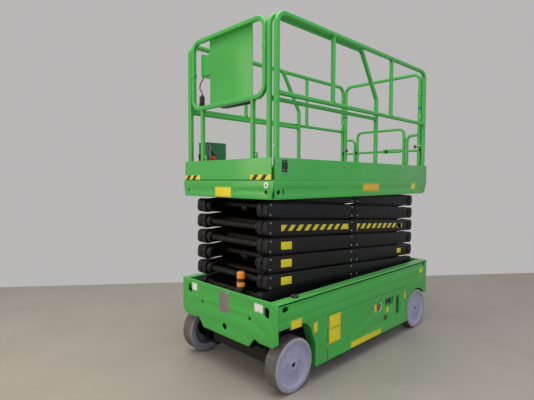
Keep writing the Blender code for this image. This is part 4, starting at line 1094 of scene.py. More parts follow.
for level in (1, 2, 3):
    arm_labels(f"arm_label_{level}", level, [on_arm(level, -0.990, -0.870, 0.030)], YELLOW)
for level in (2, 4):
    arm_labels(f"rear_arm_label_{level}", level, [on_arm(level, 0.800, 0.880, 0.024)], YELLOW)
for index, (y_low, y_high) in enumerate(((-0.990, -0.110), (0.020, 0.900))):
    arm_labels(f"hazard_band_{index}", 4, [on_arm(4, y_low, y_high, 0.0235)], YELLOW)
    arm_labels(f"hazard_bars_{index}", 4, slanted_bars(4, y_low, y_high, 0.0236), BLACK_VINYL, 0.0008)


# ---------------------------------------------------------------- lift cylinders and hoses
# Two hydraulic cylinders push between cross tubes three levels apart: black barrels with a bolted gland,
# hard-chromed rods. Black hoses run along the inner arms and loop round the front pins.
BARREL_BORE = 0.0285
# length of the near-black head end of a rod: painted shade over the chrome
SHADED_END_LENGTH = 0.15           # painted end of a rod


def lift_ends(level):
    """The cylinder's two cross tubes: low at the rear and high at the front."""
    across = TUBE_REACH * math.cos(ARM_TILT)
    rise = TUBE_REACH * math.sin(ARM_TILT)
    return (Vector((0, MIDDLE_Y + across, row_z(level - 0.5) + rise)),
            Vector((0, MIDDLE_Y - across, row_z(level + 1.5) - rise)))


def barrel_shapes(level):
    """Barrel with its gland, bolts and port, and the bored eye on the lower cross tube."""
    base, head = lift_ends(level)
    along = (head - base).normalized()
    body = [(0, 0.030), (0.028, 0.030), (0.032, 0.044), (1.180, 0.044), (1.182, 0.048), (1.200, 0.048),
            (1.202, 0.050), (1.238, 0.050), (1.241, 0.047), (1.241, BARREL_BORE), (0.240, BARREL_BORE),
            (0.240, 0), (0, 0), (0, 0.030)]
    eye = [(0, BARREL_BORE), (0, 0.041), (0.002, 0.043), (0.066, 0.043), (0.068, 0.041), (0.068, BARREL_BORE),
           (0, BARREL_BORE)]
    shapes = [turned(body, base + along * 0.058, along, 40),
              turned(eye, base - Vector((0.034, 0, 0)), (1, 0, 0), 40)]
    port = base + along * 0.140
    shapes.append(drum(port, port + Vector((0, 0.002, 0.058)), 0.011, 0.002, 20))
    bolt = [(0, 0), (0, 0.005), (0.004, 0.005), (0.004, 0)]
    for turn in range(6):
        angle = math.tau * turn / 6
        side = Vector((math.cos(angle), 0, 0)) + along.cross(Vector((1, 0, 0))) * math.sin(angle)
        shapes.append(turned(bolt, base + along * 1.2975 + side * 0.040, along, 6))
    return shapes


def rod_chrome_with_shaded_end(head_y):
    """Hard chrome with a welded eye: the last 150 mm at the head is near black, a painted shade over the
    chrome there.
    """
    made, tree, shader = new_material("chromed_rod_with_painted_shade_end", "#c9ccd0", 0.12, 1.0)
    where = add(tree, "TexCoord").outputs["Object"]
    place = add(tree, "SeparateXYZ", {}, {"Vector": where})
    # near black and dull below this height: painted shade over the rod's head end
    chromed = add(tree, "Math", {"operation": "GREATER_THAN", 1: head_y + SHADED_END_LENGTH},
                  {0: place.outputs["Y"]})
    tone = add(tree, "MixRGB", {"Color1": (*linear("#0d0e0f"), 1), "Color2": (*linear("#c9ccd0"), 1)},
               {"Fac": chromed.outputs["Value"]})
    rough = add(tree, "MapRange", {"To Min": 0.45, "To Max": 0.12}, {"Value": chromed.outputs["Value"]})
    tree.links.new(tone.outputs["Color"], shader.inputs["Base Color"])
    tree.links.new(rough.outputs["Result"], shader.inputs["Roughness"])
    tree.links.new(chromed.outputs["Value"], shader.inputs["Metallic"])
    return made


for name, level in (("lower", 1), ("upper", 4)):
    piece(f"{name}_cylinder_barrel", barrel_shapes(level), BLACK, f"{name}_lift_barrel", "black_paint",
          f"{name}_lift_barrel")
    refinish(f"{name}_lift_rod", rod_chrome_with_shaded_end(lift_ends(level)[1].y))


def hydraulic_hose():
    """Black braided hydraulic hose: dull rubber with a fine ribbed wrap drawn at 4 mm."""
    made, tree, shader = new_material("black_hydraulic_hose", "#19191a", 0.46, 0.0, IOR=1.52)
    where = add(tree, "TexCoord").outputs["Object"]
    tree.links.new(surface_tone(tree, "#141415", "#242425", 30.0, where), shader.inputs["Base Color"])
    wrap = add(tree, "TexWave", {"bands_direction": "DIAGONAL", "Scale": 80.0, "Distortion": 1.0},
               {"Vector": where})
    bump = add(tree, "Bump", {"Strength": 0.25, "Distance": 0.0006}, {"Height": wrap.outputs["Fac"]})
    tree.links.new(bump.outputs["Normal"], shader.inputs["Normal"])
    return made


HOSE = hydraulic_hose()


def hose_run(level, x, radius, loop):
    """A hose along an inner arm's inside face, from its rear end to a loop round its front pin."""
    low = Vector((x, PIN_FRONT_Y, row_z(level - 1)))
    high = Vector((x, PIN_REAR_Y, row_z(level)))
    run = (high - low).normalized()
    up = Vector((0, -run.z, run.y))
    path = [high - run * 0.180 + up * loop, low + run * 0.260 + up * loop]
    tilt = math.degrees(math.atan2(run.z, run.y))
    path += [Vector((x, *spot)) for spot in arc((low.y, low.z), loop, tilt + 90, tilt + 262, 22)]
    path.append(path[-1] + run * 0.050)
    return pipe(path, radius)


for level in range(2, LEVELS + 1):
    runs = [hose_run(level, -0.302, 0.0075, 0.041), hose_run(level, -0.285, 0.006, 0.038)]
    if level % 2:
        runs.append(hose_run(level, 0.302, 0.006, 0.040))
    piece(f"hoses_{level}", runs, HOSE, f"inner_arms_{level}", "black_plastic")


# ---------------------------------------------------------------- platform
# Folded and welded sheet: side channels with a pressed line, end plates, a tread-plate floor and high
# toeboards, all green, with a black pad bolted on each side near the front.
SIDE_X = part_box("platform_frame")[1].x
END_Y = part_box("platform_frame")[1].y
FLOOR_LOW_Z, FLOOR_TOP_Z, TOE_Z = 1.5545, 1.5665, 1.727
SEAM_Z = 1.5635
BAND_LOW_Z, BAND_WIDE_Z = 1.430, 1.540      # the band's lower edge, and where its slanted corners end
HOLE_AT = (0.482, 1.481)    # hole near each end of the front, across and up


def platform_shapes():
    """Side bands, toeboards, bottom flanges, end plates, pivot ears and the slide track."""
    lower = [(-1.195, BAND_WIDE_Z), (-1.182, BAND_LOW_Z), (1.118, BAND_LOW_Z), (1.195, 1.535),
             (1.195, SEAM_Z - 0.001), (-1.195, SEAM_Z - 0.001)]
    holes = [circle((-1.149, 1.481), 0.016), soft_box((-1.104, 1.464), (-1.092, 1.506), 0.0058),
             soft_box((1.062, 1.470), (1.072, 1.500), 0.0048)]
    toe = soft_box((-1.182, SEAM_Z + 0.0005), (1.1993, TOE_Z), 0.004)
    side = [
        sheet([lower, *holes], "X", SIDE_X - 0.0060, SIDE_X, 0.0012),
        sheet([toe], "X", SIDE_X - 0.0056, SIDE_X, 0.0012),
        slab((SIDE_X - 0.026, -1.188, BAND_LOW_Z), (SIDE_X - 0.004, 1.112, BAND_LOW_Z + 0.006), 0.0015),
        slab((SIDE_X - 0.026, -1.188, BAND_LOW_Z), (SIDE_X - 0.020, 1.112, BAND_LOW_Z + 0.022), 0.0015),
        slab((SIDE_X - 0.008, -1.190, SEAM_Z - 0.008), (SIDE_X - 0.0022, 1.190, SEAM_Z + 0.008), 0.0008),
        slab((SIDE_X - 0.011, -1.110, TOE_Z - 0.005), (SIDE_X - 0.0040, 1.190, TOE_Z - 0.0003), 0.0012),
        slab((0.448, -1.170, 1.4335), (SIDE_X - 0.020, 0.110, 1.4455), 0.002),
        slab((0.345, END_Y - 0.006, FLOOR_LOW_Z), (SIDE_X - 0.003, END_Y - 0.0004, TOE_Z), 0.0015),
    ]
    pin = (PIN_REAR_Y, row_z(LEVELS))
    root_z = FLOOR_LOW_Z + 0.004
    ear = [(0.985, root_z), *arc(pin, 0.045, 200, 340, 20), (1.145, root_z)]
    side.append(sheet([ear, circle(pin, 0.0285)], "X", 0.268, 0.300, 0.0015))
    shapes = side + mirrored(side)
    half = SIDE_X
    front = [(-half, BAND_WIDE_Z), (-half + 0.022, BAND_LOW_Z), (half - 0.022, BAND_LOW_Z),
             (half, BAND_WIDE_Z), (half, SEAM_Z - 0.001), (-half, SEAM_Z - 0.001)]
    front_holes = [circle((-HOLE_AT[0], HOLE_AT[1]), 0.013), circle(HOLE_AT, 0.014)]
    shapes.append(sheet([front, *front_holes], "Y", -END_Y, -END_Y + 0.010, 0.0018))
    rear = [(-half, BAND_WIDE_Z), (-half + 0.022, 1.440), (half - 0.022, 1.440), (half, BAND_WIDE_Z),
            (half, FLOOR_TOP_Z), (-half, FLOOR_TOP_Z)]
    shapes.append(sheet([rear], "Y", END_Y - 0.010, END_Y, 0.0018))
    return shapes


def tread_plate():
    """The same green coat over steel tread plate, with a raised lozenge pattern and foot wear."""
    made, tree, shader = new_material("green_tread_plate", "#3a9a3a", 0.45, 0.0, IOR=1.5)
    where = add(tree, "TexCoord").outputs["Object"]
    base = surface_tone(tree, "#318c33", "#45a244", 4.0, where)
    wear = add(tree, "TexNoise", {"Scale": 11.0, "Detail": 8.0, "Roughness": 0.75}, {"Vector": where})
    worn = add(tree, "MapRange", {"From Min": 0.52, "From Max": 0.70, "To Max": 0.6},
               {"Value": wear.outputs["Fac"]})
    base = add(tree, "MixRGB", {"Color2": (*linear("#7d8a78"), 1)},
               {"Fac": worn.outputs["Result"], "Color1": base})
    tree.links.new(base.outputs["Color"], shader.inputs["Base Color"])
    turned_grid = add(tree, "Mapping", {"Rotation": (0, 0, math.pi / 4), "Scale": (30.0, 90.0, 1.0)},
                      {"Vector": where})
    bars = add(tree, "TexVoronoi", {"feature": "F1", "Randomness": 0.0, "Scale": 1.0},
               {"Vector": turned_grid.outputs["Vector"]})
    raised = add(tree, "MapRange", {"From Min": 0.30, "From Max": 0.42, "To Min": 1.0, "To Max": 0.0},
                 {"Value": bars.outputs["Distance"]})
    bump = add(tree, "Bump", {"Strength": 0.8, "Distance": 0.0015}, {"Height": raised.outputs["Result"]})
    tree.links.new(bump.outputs["Normal"], shader.inputs["Normal"])
    return made


TREAD_PLATE = tread_plate()
piece("platform_body", platform_shapes(), GREEN, "platform", "green", "platform_frame")
floor_x, floor_y = SIDE_X - 0.006, END_Y - 0.010
floor_plate = slab((-floor_x, -floor_y, FLOOR_LOW_Z), (floor_x, floor_y, FLOOR_TOP_Z), 0.001)
piece("platform_floor", [floor_plate], TREAD_PLATE, "platform", "green")


def platform_fittings():
    """The bolted black pad on each side, near the front."""
    pad = [slab((SIDE_X - 0.0012, -1.113, 1.628), (SIDE_X + 0.0085, -1.062, 1.712), 0.0015)]
    dome = [(0, 0), (0, 0.0055), (0.0028, 0.0045), (0.0034, 0)]
    heads = [turned(dome, (SIDE_X + 0.008, y, z), (1, 0, 0), 16)
             for y in (-1.1035, -1.0715) for z in (1.640, 1.700)]
    return pad, heads


pad, heads = platform_fittings()
piece("side_pads", pad + mirrored(pad), NYLON, "platform", "black_plastic")
# Black plates just behind the two holes in the platform's front: painted shade, so the holes read dark.
platform_hole_shades = []
for x in (-HOLE_AT[0], HOLE_AT[0]):
    low = (x - 0.024, -END_Y + 0.0103, HOLE_AT[1] - 0.024)
    high = (x + 0.024, -END_Y + 0.0130, HOLE_AT[1] + 0.024)
    platform_hole_shades.append(slab(low, high, 0.001))
piece("platform_hole_shade_backs", platform_hole_shades, NYLON, "platform", "black_plastic")
piece("side_pad_bolts", heads + mirrored(heads), ZINC, "platform", "chrome")
for side, sign in (("left", 1), ("right", -1)):
    face = sign * (SIDE_X - 0.0001)
    stickers(f"{side}_platform_labels", face, "X", [((-0.070, 1.473), (0.203, 1.539))], "platform", "green",
             ORANGE_VINYL)
    stickers(f"{side}_rear_platform_label", face, "X", [((0.846, 1.480), (0.932, 1.540))],
             "platform", "green")
stickers("front_platform_label", -END_Y, "Y", [((-0.104, 1.436), (0.097, 1.513))], "platform", "green")
dot_at = (0.484, 1.531)
dot = sheet([circle(dot_at, 0.023, 32)], "Y", -END_Y - FILM, -END_Y, 0.0001)
mark = sheet([circle(dot_at, 0.011, 24)], "Y", -END_Y - FILM * 1.4, -END_Y, 0.0001)
piece("round_sticker", [dot], WHITE_VINYL, "platform", "green")
piece("round_sticker_mark", [mark], vinyl("grey_blue_vinyl", "#6d7c98", "#8391ab"), "platform", "green")
teal = sheet([soft_box((0.132, 1.474), (0.160, 1.488), 0.0065)], "Y", -END_Y - FILM, -END_Y, 0.0001)
piece("teal_plug", [teal], vinyl("teal_plastic", "#14735c", "#1c8a70"), "platform", "green")


# ---------------------------------------------------------------- guardrails
# Bent 38 mm tube with slightly flattened sides, welded into hoops with a bead round each joint, and
# powder coated green. The rear corners carry black hold-down latches, blue tape and a thin stay wire.
TUBE = 0.0172


def swept(path, normal, half=TUBE, bend=0.0095, closed=False):
    """A square tube with well rounded corners along a flat path, whose plane has this normal."""
    path = [Vector(p) for p in path]
    normal = Vector(normal)
    section = [Vector(p) for p in soft_box((-half, -half), (half, half), bend, 4)]
    count = len(path)
    bm = bmesh.new()
    rings = []
    for index, place in enumerate(path):
        before = path[index - 1] if closed or index else place
        after = path[(index + 1) % count] if closed or index < count - 1 else place
        side = (after - before).normalized().cross(normal)
        rings.append([bm.verts.new(place + normal * p.x + side * p.y) for p in section])
    size = len(section)
    for index in range(count if closed else count - 1):
        one, two = rings[index], rings[(index + 1) % count]
        for k in range(size):
            bm.faces.new((one[k], one[(k + 1) % size], two[(k + 1) % size], two[k]))
    if not closed:
        bm.faces.new(rings[0])
        bm.faces.new(rings[-1])
    bmesh.ops.recalc_face_normals(bm, faces=bm.faces)
    data = bpy.data.meshes.new("swept")
    bm.to_mesh(data)
    bm.free()
    return data


def bead(place, half=TUBE, along="Z"):
    """A weld bead round a tube's foot."""
    size = [half + 0.0028] * 3
    size["XYZ".index(along)] = 0.0035
    return slab(Vector(place) - Vector(size), Vector(place) + Vector(size), 0.0026)


RAIL_TOP_Z, RAIL_MID_Z, RAIL_X = 2.740, 2.184, 0.530
RAIL_BEND = 0.080
RAIL_FRONT_Y, RAIL_REAR_Y = -1.143, 1.160
FOOT_Z = FLOOR_TOP_Z + 0.0003


def side_rail_shapes():
    """A side's long hoop with its mid rail, two uprights, weld beads and foot sleeves."""
    x, front, rear = RAIL_X, RAIL_FRONT_Y, RAIL_REAR_Y
    corners = [(x, front, FOOT_Z), (x, front, RAIL_TOP_Z), (x, rear, RAIL_TOP_Z), (x, rear, FOOT_Z)]
    shapes = [swept(rounded(corners, RAIL_BEND, 12), (1, 0, 0), 0.0180),
              swept([(x, front + 0.010, RAIL_MID_Z), (x, rear - 0.010, RAIL_MID_Z)], (1, 0, 0), 0.0165)]
    for y in (front + 0.020, rear - 0.020):
        shapes.append(bead((x, y, RAIL_MID_Z), 0.0160, "Y"))
    for y in (-0.490, 0.445):
        shapes.append(swept([(x, y, RAIL_MID_Z), (x, y, RAIL_TOP_Z)], (1, 0, 0), 0.0160))
        shapes += [bead((x, y, RAIL_MID_Z + 0.018), 0.0155), bead((x, y, RAIL_TOP_Z - 0.019), 0.0155)]
    for y in (front, rear):
        shapes.append(slab((x - 0.0215, y - 0.026, FOOT_Z), (x + 0.0215, y + 0.026, FOOT_Z + 0.090), 0.003))
    return shapes


rail = side_rail_shapes()
piece("left_guardrail", rail, GREEN, "platform", "green", "left_rail")
piece("right_guardrail", mirrored(rail), GREEN, "platform", "green", "right_rail")

REAR_X, GATE_POST_X, GATE_BEND = 0.4855, 0.345, 0.060


def rear_rail_shapes():
    """The rear hoop, and on each side the short low hoop and rung that the gate closes on."""
    y, top = RAIL_REAR_Y, RAIL_TOP_Z - 0.006
    corners = [(-REAR_X, y, FOOT_Z), (-REAR_X, y, top), (REAR_X, y, top), (REAR_X, y, FOOT_Z)]
    shapes = [swept(rounded(corners, RAIL_BEND, 12), (0, 1, 0), 0.0175)]
    for sign in (-1, 1):
        x, post = sign * REAR_X, sign * GATE_POST_X
        hoop = rounded([(x, y, 2.070), (post, y, 2.070), (post, y, FOOT_Z)], GATE_BEND, 10)
        shapes.append(swept(hoop, (0, 1, 0), 0.0145, 0.0085))
        shapes.append(swept([(x, y, 1.900), (post, y, 1.900)], (0, 1, 0), 0.0125, 0.007))
        shapes += [bead((x, y, 2.500), 0.0180), bead((x, y, 2.506), 0.0170)]
        shapes.append(slab((x - 0.021, y - 0.022, FOOT_Z), (x + 0.021, y + 0.022, FOOT_Z + 0.080), 0.003))
    return shapes


piece("rear_guardrail", rear_rail_shapes(), GREEN, "platform", "green", "rear_rail")
GATE_X, GATE_LOW_Z, GATE_MID_Z, GATE_TOP_Z = 0.306, 1.640, 1.905, 2.150


def gate_shapes():
    """The gate: a closed hoop with a rung, a folded plate for the latch and two hinge sleeves."""
    y = RAIL_REAR_Y
    corners = [(GATE_X, y, GATE_LOW_Z), (GATE_X, y, GATE_TOP_Z), (-GATE_X, y, GATE_TOP_Z),
               (-GATE_X, y, GATE_LOW_Z)]
    hoop = rounded(corners, GATE_BEND, 10, closed=True)
    shapes = [swept(hoop, (0, 1, 0), 0.0145, 0.0085, closed=True),
              swept([(-GATE_X, y, GATE_MID_Z), (GATE_X, y, GATE_MID_Z)], (0, 1, 0), 0.0135, 0.006),
              slab((0.060, y - 0.020, 1.882), (0.280, y - 0.012, 1.928), 0.002)]
    for x in (-GATE_X + 0.018, GATE_X - 0.018):
        shapes.append(bead((x, y, GATE_MID_Z), 0.0130, "X"))
    for z in (1.760, 2.040):
        shapes.append(drum((GATE_X + 0.004, y, z - 0.030), (GATE_X + 0.004, y, z + 0.030), 0.0175, 0.002, 24))
    return shapes


piece("gate_hoop", gate_shapes(), GREEN, "entry_gate", "green", "entry_gate")
gate_knob = [drum((0.100, RAIL_REAR_Y - 0.036, GATE_MID_Z), (0.100, RAIL_REAR_Y - 0.012, GATE_MID_Z), 0.016,
                  0.003, 28),
             slab((-0.326, RAIL_REAR_Y - 0.022, 1.893), (-0.296, RAIL_REAR_Y + 0.016, 1.925), 0.003)]
piece("gate_knob_and_catch", gate_knob, NYLON, "entry_gate", "black_plastic")


def corner_latches():
    """Cranked black hold-down on each rear corner, with a spring pin above it."""
    x, y = REAR_X, RAIL_REAR_Y
    crank = [(y - 0.034, 1.925), (y - 0.014, 1.925), (y + 0.004, 1.880), (y + 0.004, 1.740),
             (y - 0.010, 1.740), (y - 0.012, 1.872), (y - 0.036, 1.905)]
    lever = sheet([crank], "X", x + 0.0180, x + 0.0245, 0.001)
    pull = slab((x + 0.0180, y + 0.016, 2.020), (x + 0.0240, y + 0.030, 2.120), 0.002)
    near = slab((x - 0.050, y - 0.024, 1.925), (x - 0.020, y - 0.018, 1.960), 0.002)
    return [lever, pull, near]


dark = corner_latches()
piece("corner_latches", dark + mirrored(dark), NYLON, "platform", "black_plastic")
pin_y = RAIL_REAR_Y - 0.022
pins = [drum((REAR_X - 0.030, pin_y, 1.950), (REAR_X + 0.030, pin_y, 1.950), 0.006, 0.001, 16),
        drum((RAIL_X, RAIL_FRONT_Y - 0.024, 1.812), (RAIL_X, RAIL_FRONT_Y + 0.026, 1.812), 0.006, 0.001, 16),
        drum((RAIL_X - 0.026, RAIL_FRONT_Y, 2.004), (RAIL_X + 0.024, RAIL_FRONT_Y, 2.004), 0.005, 0.001, 16)]
piece("rail_pins", pins + mirrored(pins), ZINC, "platform", "chrome")
wrap = 0.0188
tape = [slab((REAR_X - wrap, RAIL_REAR_Y - wrap, 2.348), (REAR_X + wrap, RAIL_REAR_Y + wrap, 2.374), 0.008)]
piece("blue_tape", tape + mirrored(tape), vinyl("blue_tape", "#0f4f9a", "#1660b4"), "platform", "green")
wire_path = [(RAIL_X, 1.045, RAIL_MID_Z + 0.010), (0.522, 1.085, 2.215), (0.505, 1.130, 2.280),
             (0.498, 1.146, 2.320)]
stay = [pipe(wire_path, 0.0022)]
piece("stay_wires", stay + mirrored(stay), ZINC, "platform", "chrome")


# ---------------------------------------------------------------- roll-out deck and its rails
# The extension deck slides over the floor on its own rails. Its front toeboard closes the platform's
# front, with hazard bands at its corners. Its side rails nest inside the main ones, behind a hoop.
DECK_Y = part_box("slide_deck")[0].y
DECK_Z, DECK_HALF = 1.588, 0.500
DECK_FOOT_Z = DECK_Z + 0.0103
POST_Y = -1.168


def deck_shapes():
    """Front toeboard with its folded lip, and the step at the deck's rear edge."""
    low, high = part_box("slide_deck")
    toe = soft_box((-high.x, low.z), (high.x, TOE_Z), 0.004)
    lip_x = high.x - 0.004
    lip = slab((-lip_x, DECK_Y + 0.002, TOE_Z - 0.006), (lip_x, DECK_Y + 0.0115, TOE_Z - 0.0003), 0.002)
    step = slab((-DECK_HALF, 0.2955, FLOOR_TOP_Z + 0.006), (DECK_HALF, 0.3025, DECK_Z + 0.0095), 0.0015)
    return [sheet([toe], "Y", DECK_Y, DECK_Y + 0.010, 0.0018), lip, step]


piece("deck_toeboard", deck_shapes(), GREEN, "slide_deck", "green", "slide_deck")
deck_floor = slab((-DECK_HALF, DECK_Y + 0.0095, DECK_Z), (DECK_HALF, 0.300, DECK_Z + 0.010), 0.001)
piece("deck_floor", [deck_floor], TREAD_PLATE, "slide_deck", "green")


def hazard(name, x_low, x_high):
    """A yellow band with two or three black bars that lean to the right."""
    low, high = 1.5705, 1.6075
    piece(name, [film(DECK_Y, "Y", (x_low, low), (x_high, high), 0.001)], YELLOW, "slide_deck", "green")
    bars = []
    wide, lean, pitch = 0.044, 0.034, 0.092
    foot, head = low + 0.0004, high - 0.0004
    spot = x_low + 0.012
    while spot + 0.085 < x_high:
        bar = [(spot, foot), (spot + wide, foot), (spot + wide + lean, head), (spot + lean, head)]
        bars.append(sheet([bar], "Y", DECK_Y - 0.0006, DECK_Y, 0.0001))
        spot += pitch
    piece(f"{name}_bars", bars, BLACK_VINYL, "slide_deck", "green")


hazard("left_hazard_band", 0.318, 0.532)
hazard("right_hazard_band", -0.532, -0.311)


SLIDE_TOP_Z, SLIDE_MID_Z, HOOP_LOW_Z = RAIL_TOP_Z - 0.012, 2.148, 2.170


def slide_rail_shapes():
    """Front post, top rail that bends down to a rear leg, mid rail and foot sleeve."""
    x, foot, top, middle = 0.483, DECK_FOOT_Z, SLIDE_TOP_Z, SLIDE_MID_Z
    corners = [(x, POST_Y, foot), (x, POST_Y, top), (x, -0.010, top), (x, 0.255, 2.330), (x, 0.255, foot)]
    return [swept(rounded(corners, 0.075, 12), (1, 0, 0), 0.0170),
            swept([(x, POST_Y + 0.010, middle), (x, 0.245, middle)], (1, 0, 0), 0.0150, 0.0085),
            bead((x, POST_Y + 0.019, middle), 0.0148, "Y"), bead((x, 0.236, middle), 0.0148, "Y"),
            slab((x - 0.0205, 0.230, foot), (x + 0.0205, 0.280, foot + 0.080), 0.003)]


slider = slide_rail_shapes()
piece("left_sliding_rail", slider, GREEN, "slide_deck", "green", "left_slide_rail")
piece("right_sliding_rail", mirrored(slider), GREEN, "slide_deck", "green", "right_slide_rail")


CLAMP_X = 0.312


def hoop_shapes():
    """Closed upper hoop on two posts, with a clamp plate at each foot and a sleeve on each side."""
    x, top, low, foot = 0.440, SLIDE_TOP_Z, HOOP_LOW_Z, DECK_FOOT_Z
    corners = [(x, POST_Y, low), (x, POST_Y, top), (-x, POST_Y, top), (-x, POST_Y, low)]
    shapes = [swept(rounded(corners, 0.085, 12, closed=True), (0, 1, 0), 0.0180, closed=True)]
    for sign in (-1, 1):
        post = sign * CLAMP_X
        shapes += [swept([(post, POST_Y, foot), (post, POST_Y, low)], (0, 1, 0), 0.0165),
                   bead((post, POST_Y, low - 0.019), 0.0160),
                   slab((post - 0.034, POST_Y + 0.004, foot), (post + 0.034, POST_Y + 0.020, 1.775), 0.003)]
    sleeve = 0.0205
    for at, z in ((x, 2.490), (-x, 2.440)):
        low, high = (at - sleeve, POST_Y - sleeve, z), (at + sleeve, POST_Y + sleeve, z + 0.042)
        shapes.append(slab(low, high, 0.008))
    return shapes


piece("front_rail_hoop", hoop_shapes(), GREEN, "slide_deck", "green", "front_hoop")
clamps = []
for sign in (-1, 1):
    for shift in (-0.028, 0.028):
        clamps += hex_bolt((sign * CLAMP_X + shift, POST_Y + 0.0045, 1.752), (0, -1, 0), 0.010, 0.007)
piece("post_clamp_bolts", clamps, ZINC, "slide_deck", "chrome")


# ---------------------------------------------------------------- control station
# A pressed green panel behind the hoop, creased across, with a black tray under it. The drive controller's
# box stands at the right with its joystick, stop button and keypad, and its lead drops to a connector.
PANEL_LOW, PANEL_HIGH = (-0.250, 2.195), (0.272, 2.722)
PANEL_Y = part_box("control_station")[0].y
BOX_LOW_Z = 2.445


def panel_shapes():
    """Panel in two flats that meet at a shallow crease, and the controller's rounded housing."""
    front = PANEL_Y
    section = [(front + 0.0004, PANEL_HIGH[1]), (front + 0.0004, 2.516), (front + 0.0030, 2.508),
               (front + 0.0030, PANEL_LOW[1]),
               (front + 0.0080, PANEL_LOW[1]), (front + 0.0080, PANEL_HIGH[1])]
    shapes = [sheet([section], "X", PANEL_LOW[0], PANEL_HIGH[0], 0.0004)]
    shapes.append(slab((-0.390, PANEL_Y + 0.007, BOX_LOW_Z), (-0.060, -0.985, 2.620), 0.012, 4))
    for x in (-0.385, -0.075):
        shapes.append(slab((x, PANEL_Y + 0.008, 2.590), (x + 0.012, -1.000, 2.640), 0.003))
    return shapes


piece("control_panel", panel_shapes(), GREEN, "slide_deck", "green", "control_station")
under = [slab((-0.235, -1.1335, 2.196), (0.235, -1.020, 2.206), 0.002),
         slab((-0.150, -1.118, 2.160), (0.150, -1.045, 2.197), 0.004)]
for x in (-0.150, -0.020, 0.105, 0.222):
    under.append(drum((x, -1.085, 2.176), (x, -1.085, 2.197), 0.010, 0.002, 20))
stick_at = (-0.300, -1.045)
boot = [(0, 0), (0, 0.034), (0.006, 0.032), (0.010, 0.024), (0.014, 0.026), (0.018, 0.018),
        (0.022, 0.019), (0.026, 0.010), (0.030, 0)]
under.append(turned(boot, (*stick_at, 2.6195), (0, 0, 1), 36))
grip = [(0, 0), (0, 0.010), (0.020, 0.011), (0.045, 0.014), (0.062, 0.016), (0.070, 0.013), (0.073, 0)]
under.append(turned(grip, (*stick_at, 2.640), (0, 0, 1), 28))
under.append(slab((-0.230, -1.090, 2.6198), (-0.110, -1.010, 2.6230), 0.001))
piece("controller_fittings", under, NYLON, "slide_deck", "black_plastic")
stop_cap = turned([(0, 0.014), (0.008, 0.014), (0.009, 0.021), (0.015, 0.022), (0.019, 0.017), (0.020, 0)],
                  (-0.145, -1.050, 2.623), (0, 0, 1), 32)
piece("controller_stop_button", [stop_cap], RED, "slide_deck", "amber")
keys = [slab((x, y, 2.6228), (x + 0.014, y + 0.012, 2.6250), 0.001)
        for x in (-0.222, -0.200, -0.178) for y in (-1.078, -1.056, -1.034)]
piece("controller_keys", keys, WHITE_VINYL, "slide_deck", "black_plastic")
studs = []
for x, z in ((-0.100, 2.362), (0.090, 2.364), (-0.100, 2.203), (0.095, 2.203)):
    stud = [(0, 0), (0, 0.0055), (0.0022, 0.0048), (0.0030, 0)]
    studs.append(turned(stud, (x, PANEL_Y + 0.0032, z), (0, -1, 0), 16))
piece("panel_studs", studs, ZINC, "slide_deck", "chrome")


def lead_path():
    """One smooth drop from the box's gland, bowed to the right, into the top of the connector."""
    low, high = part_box("control_lead")
    points = [(-0.374, -1.118, high.z), (-0.374, -1.118, high.z - 0.010), (-0.378, -1.1185, 2.428),
              (-0.394, -1.121, 2.411), (-0.408, -1.1235, 2.392), (-0.413, -1.1248, 2.370),
              (-0.410, -1.1252, 2.350), (-0.400, -1.125, 2.334),
              (-0.388, -1.1242, 2.322), (-0.3805, -1.124, 2.310), (-0.380, -1.124, low.z)]
    smooth = []
    for index in range(len(points) - 1):
        p0, p1 = Vector(points[max(index - 1, 0)]), Vector(points[index])
        p2, p3 = Vector(points[index + 1]), Vector(points[min(index + 2, len(points) - 1)])
        for step in range(5):
            t = step / 5
            smooth.append(((2 * p1) + (p2 - p0) * t + (2 * p0 - 5 * p1 + 4 * p2 - p3) * t * t
                           + (3 * p1 - p0 - 3 * p2 + p3) * t ** 3) / 2)
    return smooth + [Vector(points[-1])]


piece("controller_lead", [pipe(lead_path(), 0.0045)], HOSE, "slide_deck", "black_plastic", "control_lead")
plug = [slab((-0.396, -1.1443, 2.205), (-0.364, -1.108, 2.284), 0.005, 3),
        slab((-0.394, -1.1485, 2.165), (-0.366, -1.1440, 2.225), 0.002),
        drum((-0.380, -1.124, 2.283), (-0.380, -1.124, 2.296), 0.010, 0.0015, 24)]
plug += [drum((-0.380, -1.124, 2.285 + 0.0035 * k), (-0.380, -1.124, 2.287 + 0.0035 * k), 0.0112, 0.0005, 24)
         for k in range(3)]
piece("lead_plug", plug, NYLON, "slide_deck", "black_plastic", "lead_connector")


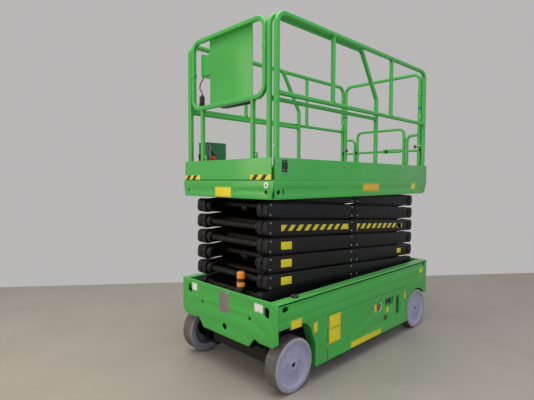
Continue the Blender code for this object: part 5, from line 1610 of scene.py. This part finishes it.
# ---------------------------------------------------------------- power box on the deck
# A folded dark-green box by the right front corner holds the deck's outlet: a grey conduit, a curved
# black cable and an orange-red plug, with a few dark fittings on its face.
def dark_green_enamel():
    """Deep bottle-green enamel, semi-gloss, with a soft drift in tone."""
    made, tree, shader = new_material("bottle_green_enamel", "#0f6a3c", 0.38, 0.0, IOR=1.5)
    where = add(tree, "TexCoord").outputs["Object"]
    tree.links.new(surface_tone(tree, "#0c5a33", "#137746", 6.0, where), shader.inputs["Base Color"])
    return made


low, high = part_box("deck_power_box")
box_shapes = [slab(low, high, 0.004, 3),
              slab((low.x - 0.0004, low.y - 0.004, high.z - 0.012),
                   (high.x + 0.0004, low.y + 0.004, high.z - 0.0005), 0.0015)]
piece("power_box_case", box_shapes, dark_green_enamel(), "slide_deck", "dark_green", "deck_power_box")
face = low.y - 0.0003
dark = [slab((-0.432, face - 0.010, 1.735), (-0.392, face + 0.002, 1.800), 0.004),
        drum((-0.414, face - 0.018, 1.772), (-0.414, face, 1.772), 0.015, 0.003, 24),
        slab((-0.380, face - 0.008, 1.790), (-0.352, face + 0.002, 1.872), 0.003),
        drum((-0.404, face - 0.016, 1.712), (-0.404, face, 1.712), 0.018, 0.003, 24)]
inner = high.x + 0.0003
bow = [(-1.100, 1.812), (-1.088, 1.808), (-1.074, 1.797), (-1.062, 1.782),
       (-1.053, 1.763), (-1.048, 1.742), (-1.047, 1.722), (-1.048, 1.700)]
dark.append(pipe([(inner + 0.012, y, z) for y, z in bow], 0.0060))
piece("power_box_fittings", dark, NYLON, "slide_deck", "black_plastic")
grey_post = [slab((inner - 0.001, -1.114, 1.620), (inner + 0.014, -1.092, 1.862), 0.004, 3)]
piece("power_box_conduit", grey_post, grey_enamel(), "slide_deck", "grey_steel")
orange = new_material("orange_red_plug", "#c8341c", 0.40, 0.0, IOR=1.53)[0]
red_plug = [slab((inner + 0.0145, -1.112, 1.724), (inner + 0.030, -1.056, 1.770), 0.005, 3),
            drum((inner + 0.012, -1.080, 1.748), (inner + 0.046, -1.080, 1.748), 0.016, 0.003, 24)]
piece("power_box_plug", red_plug, orange, "slide_deck", "amber")
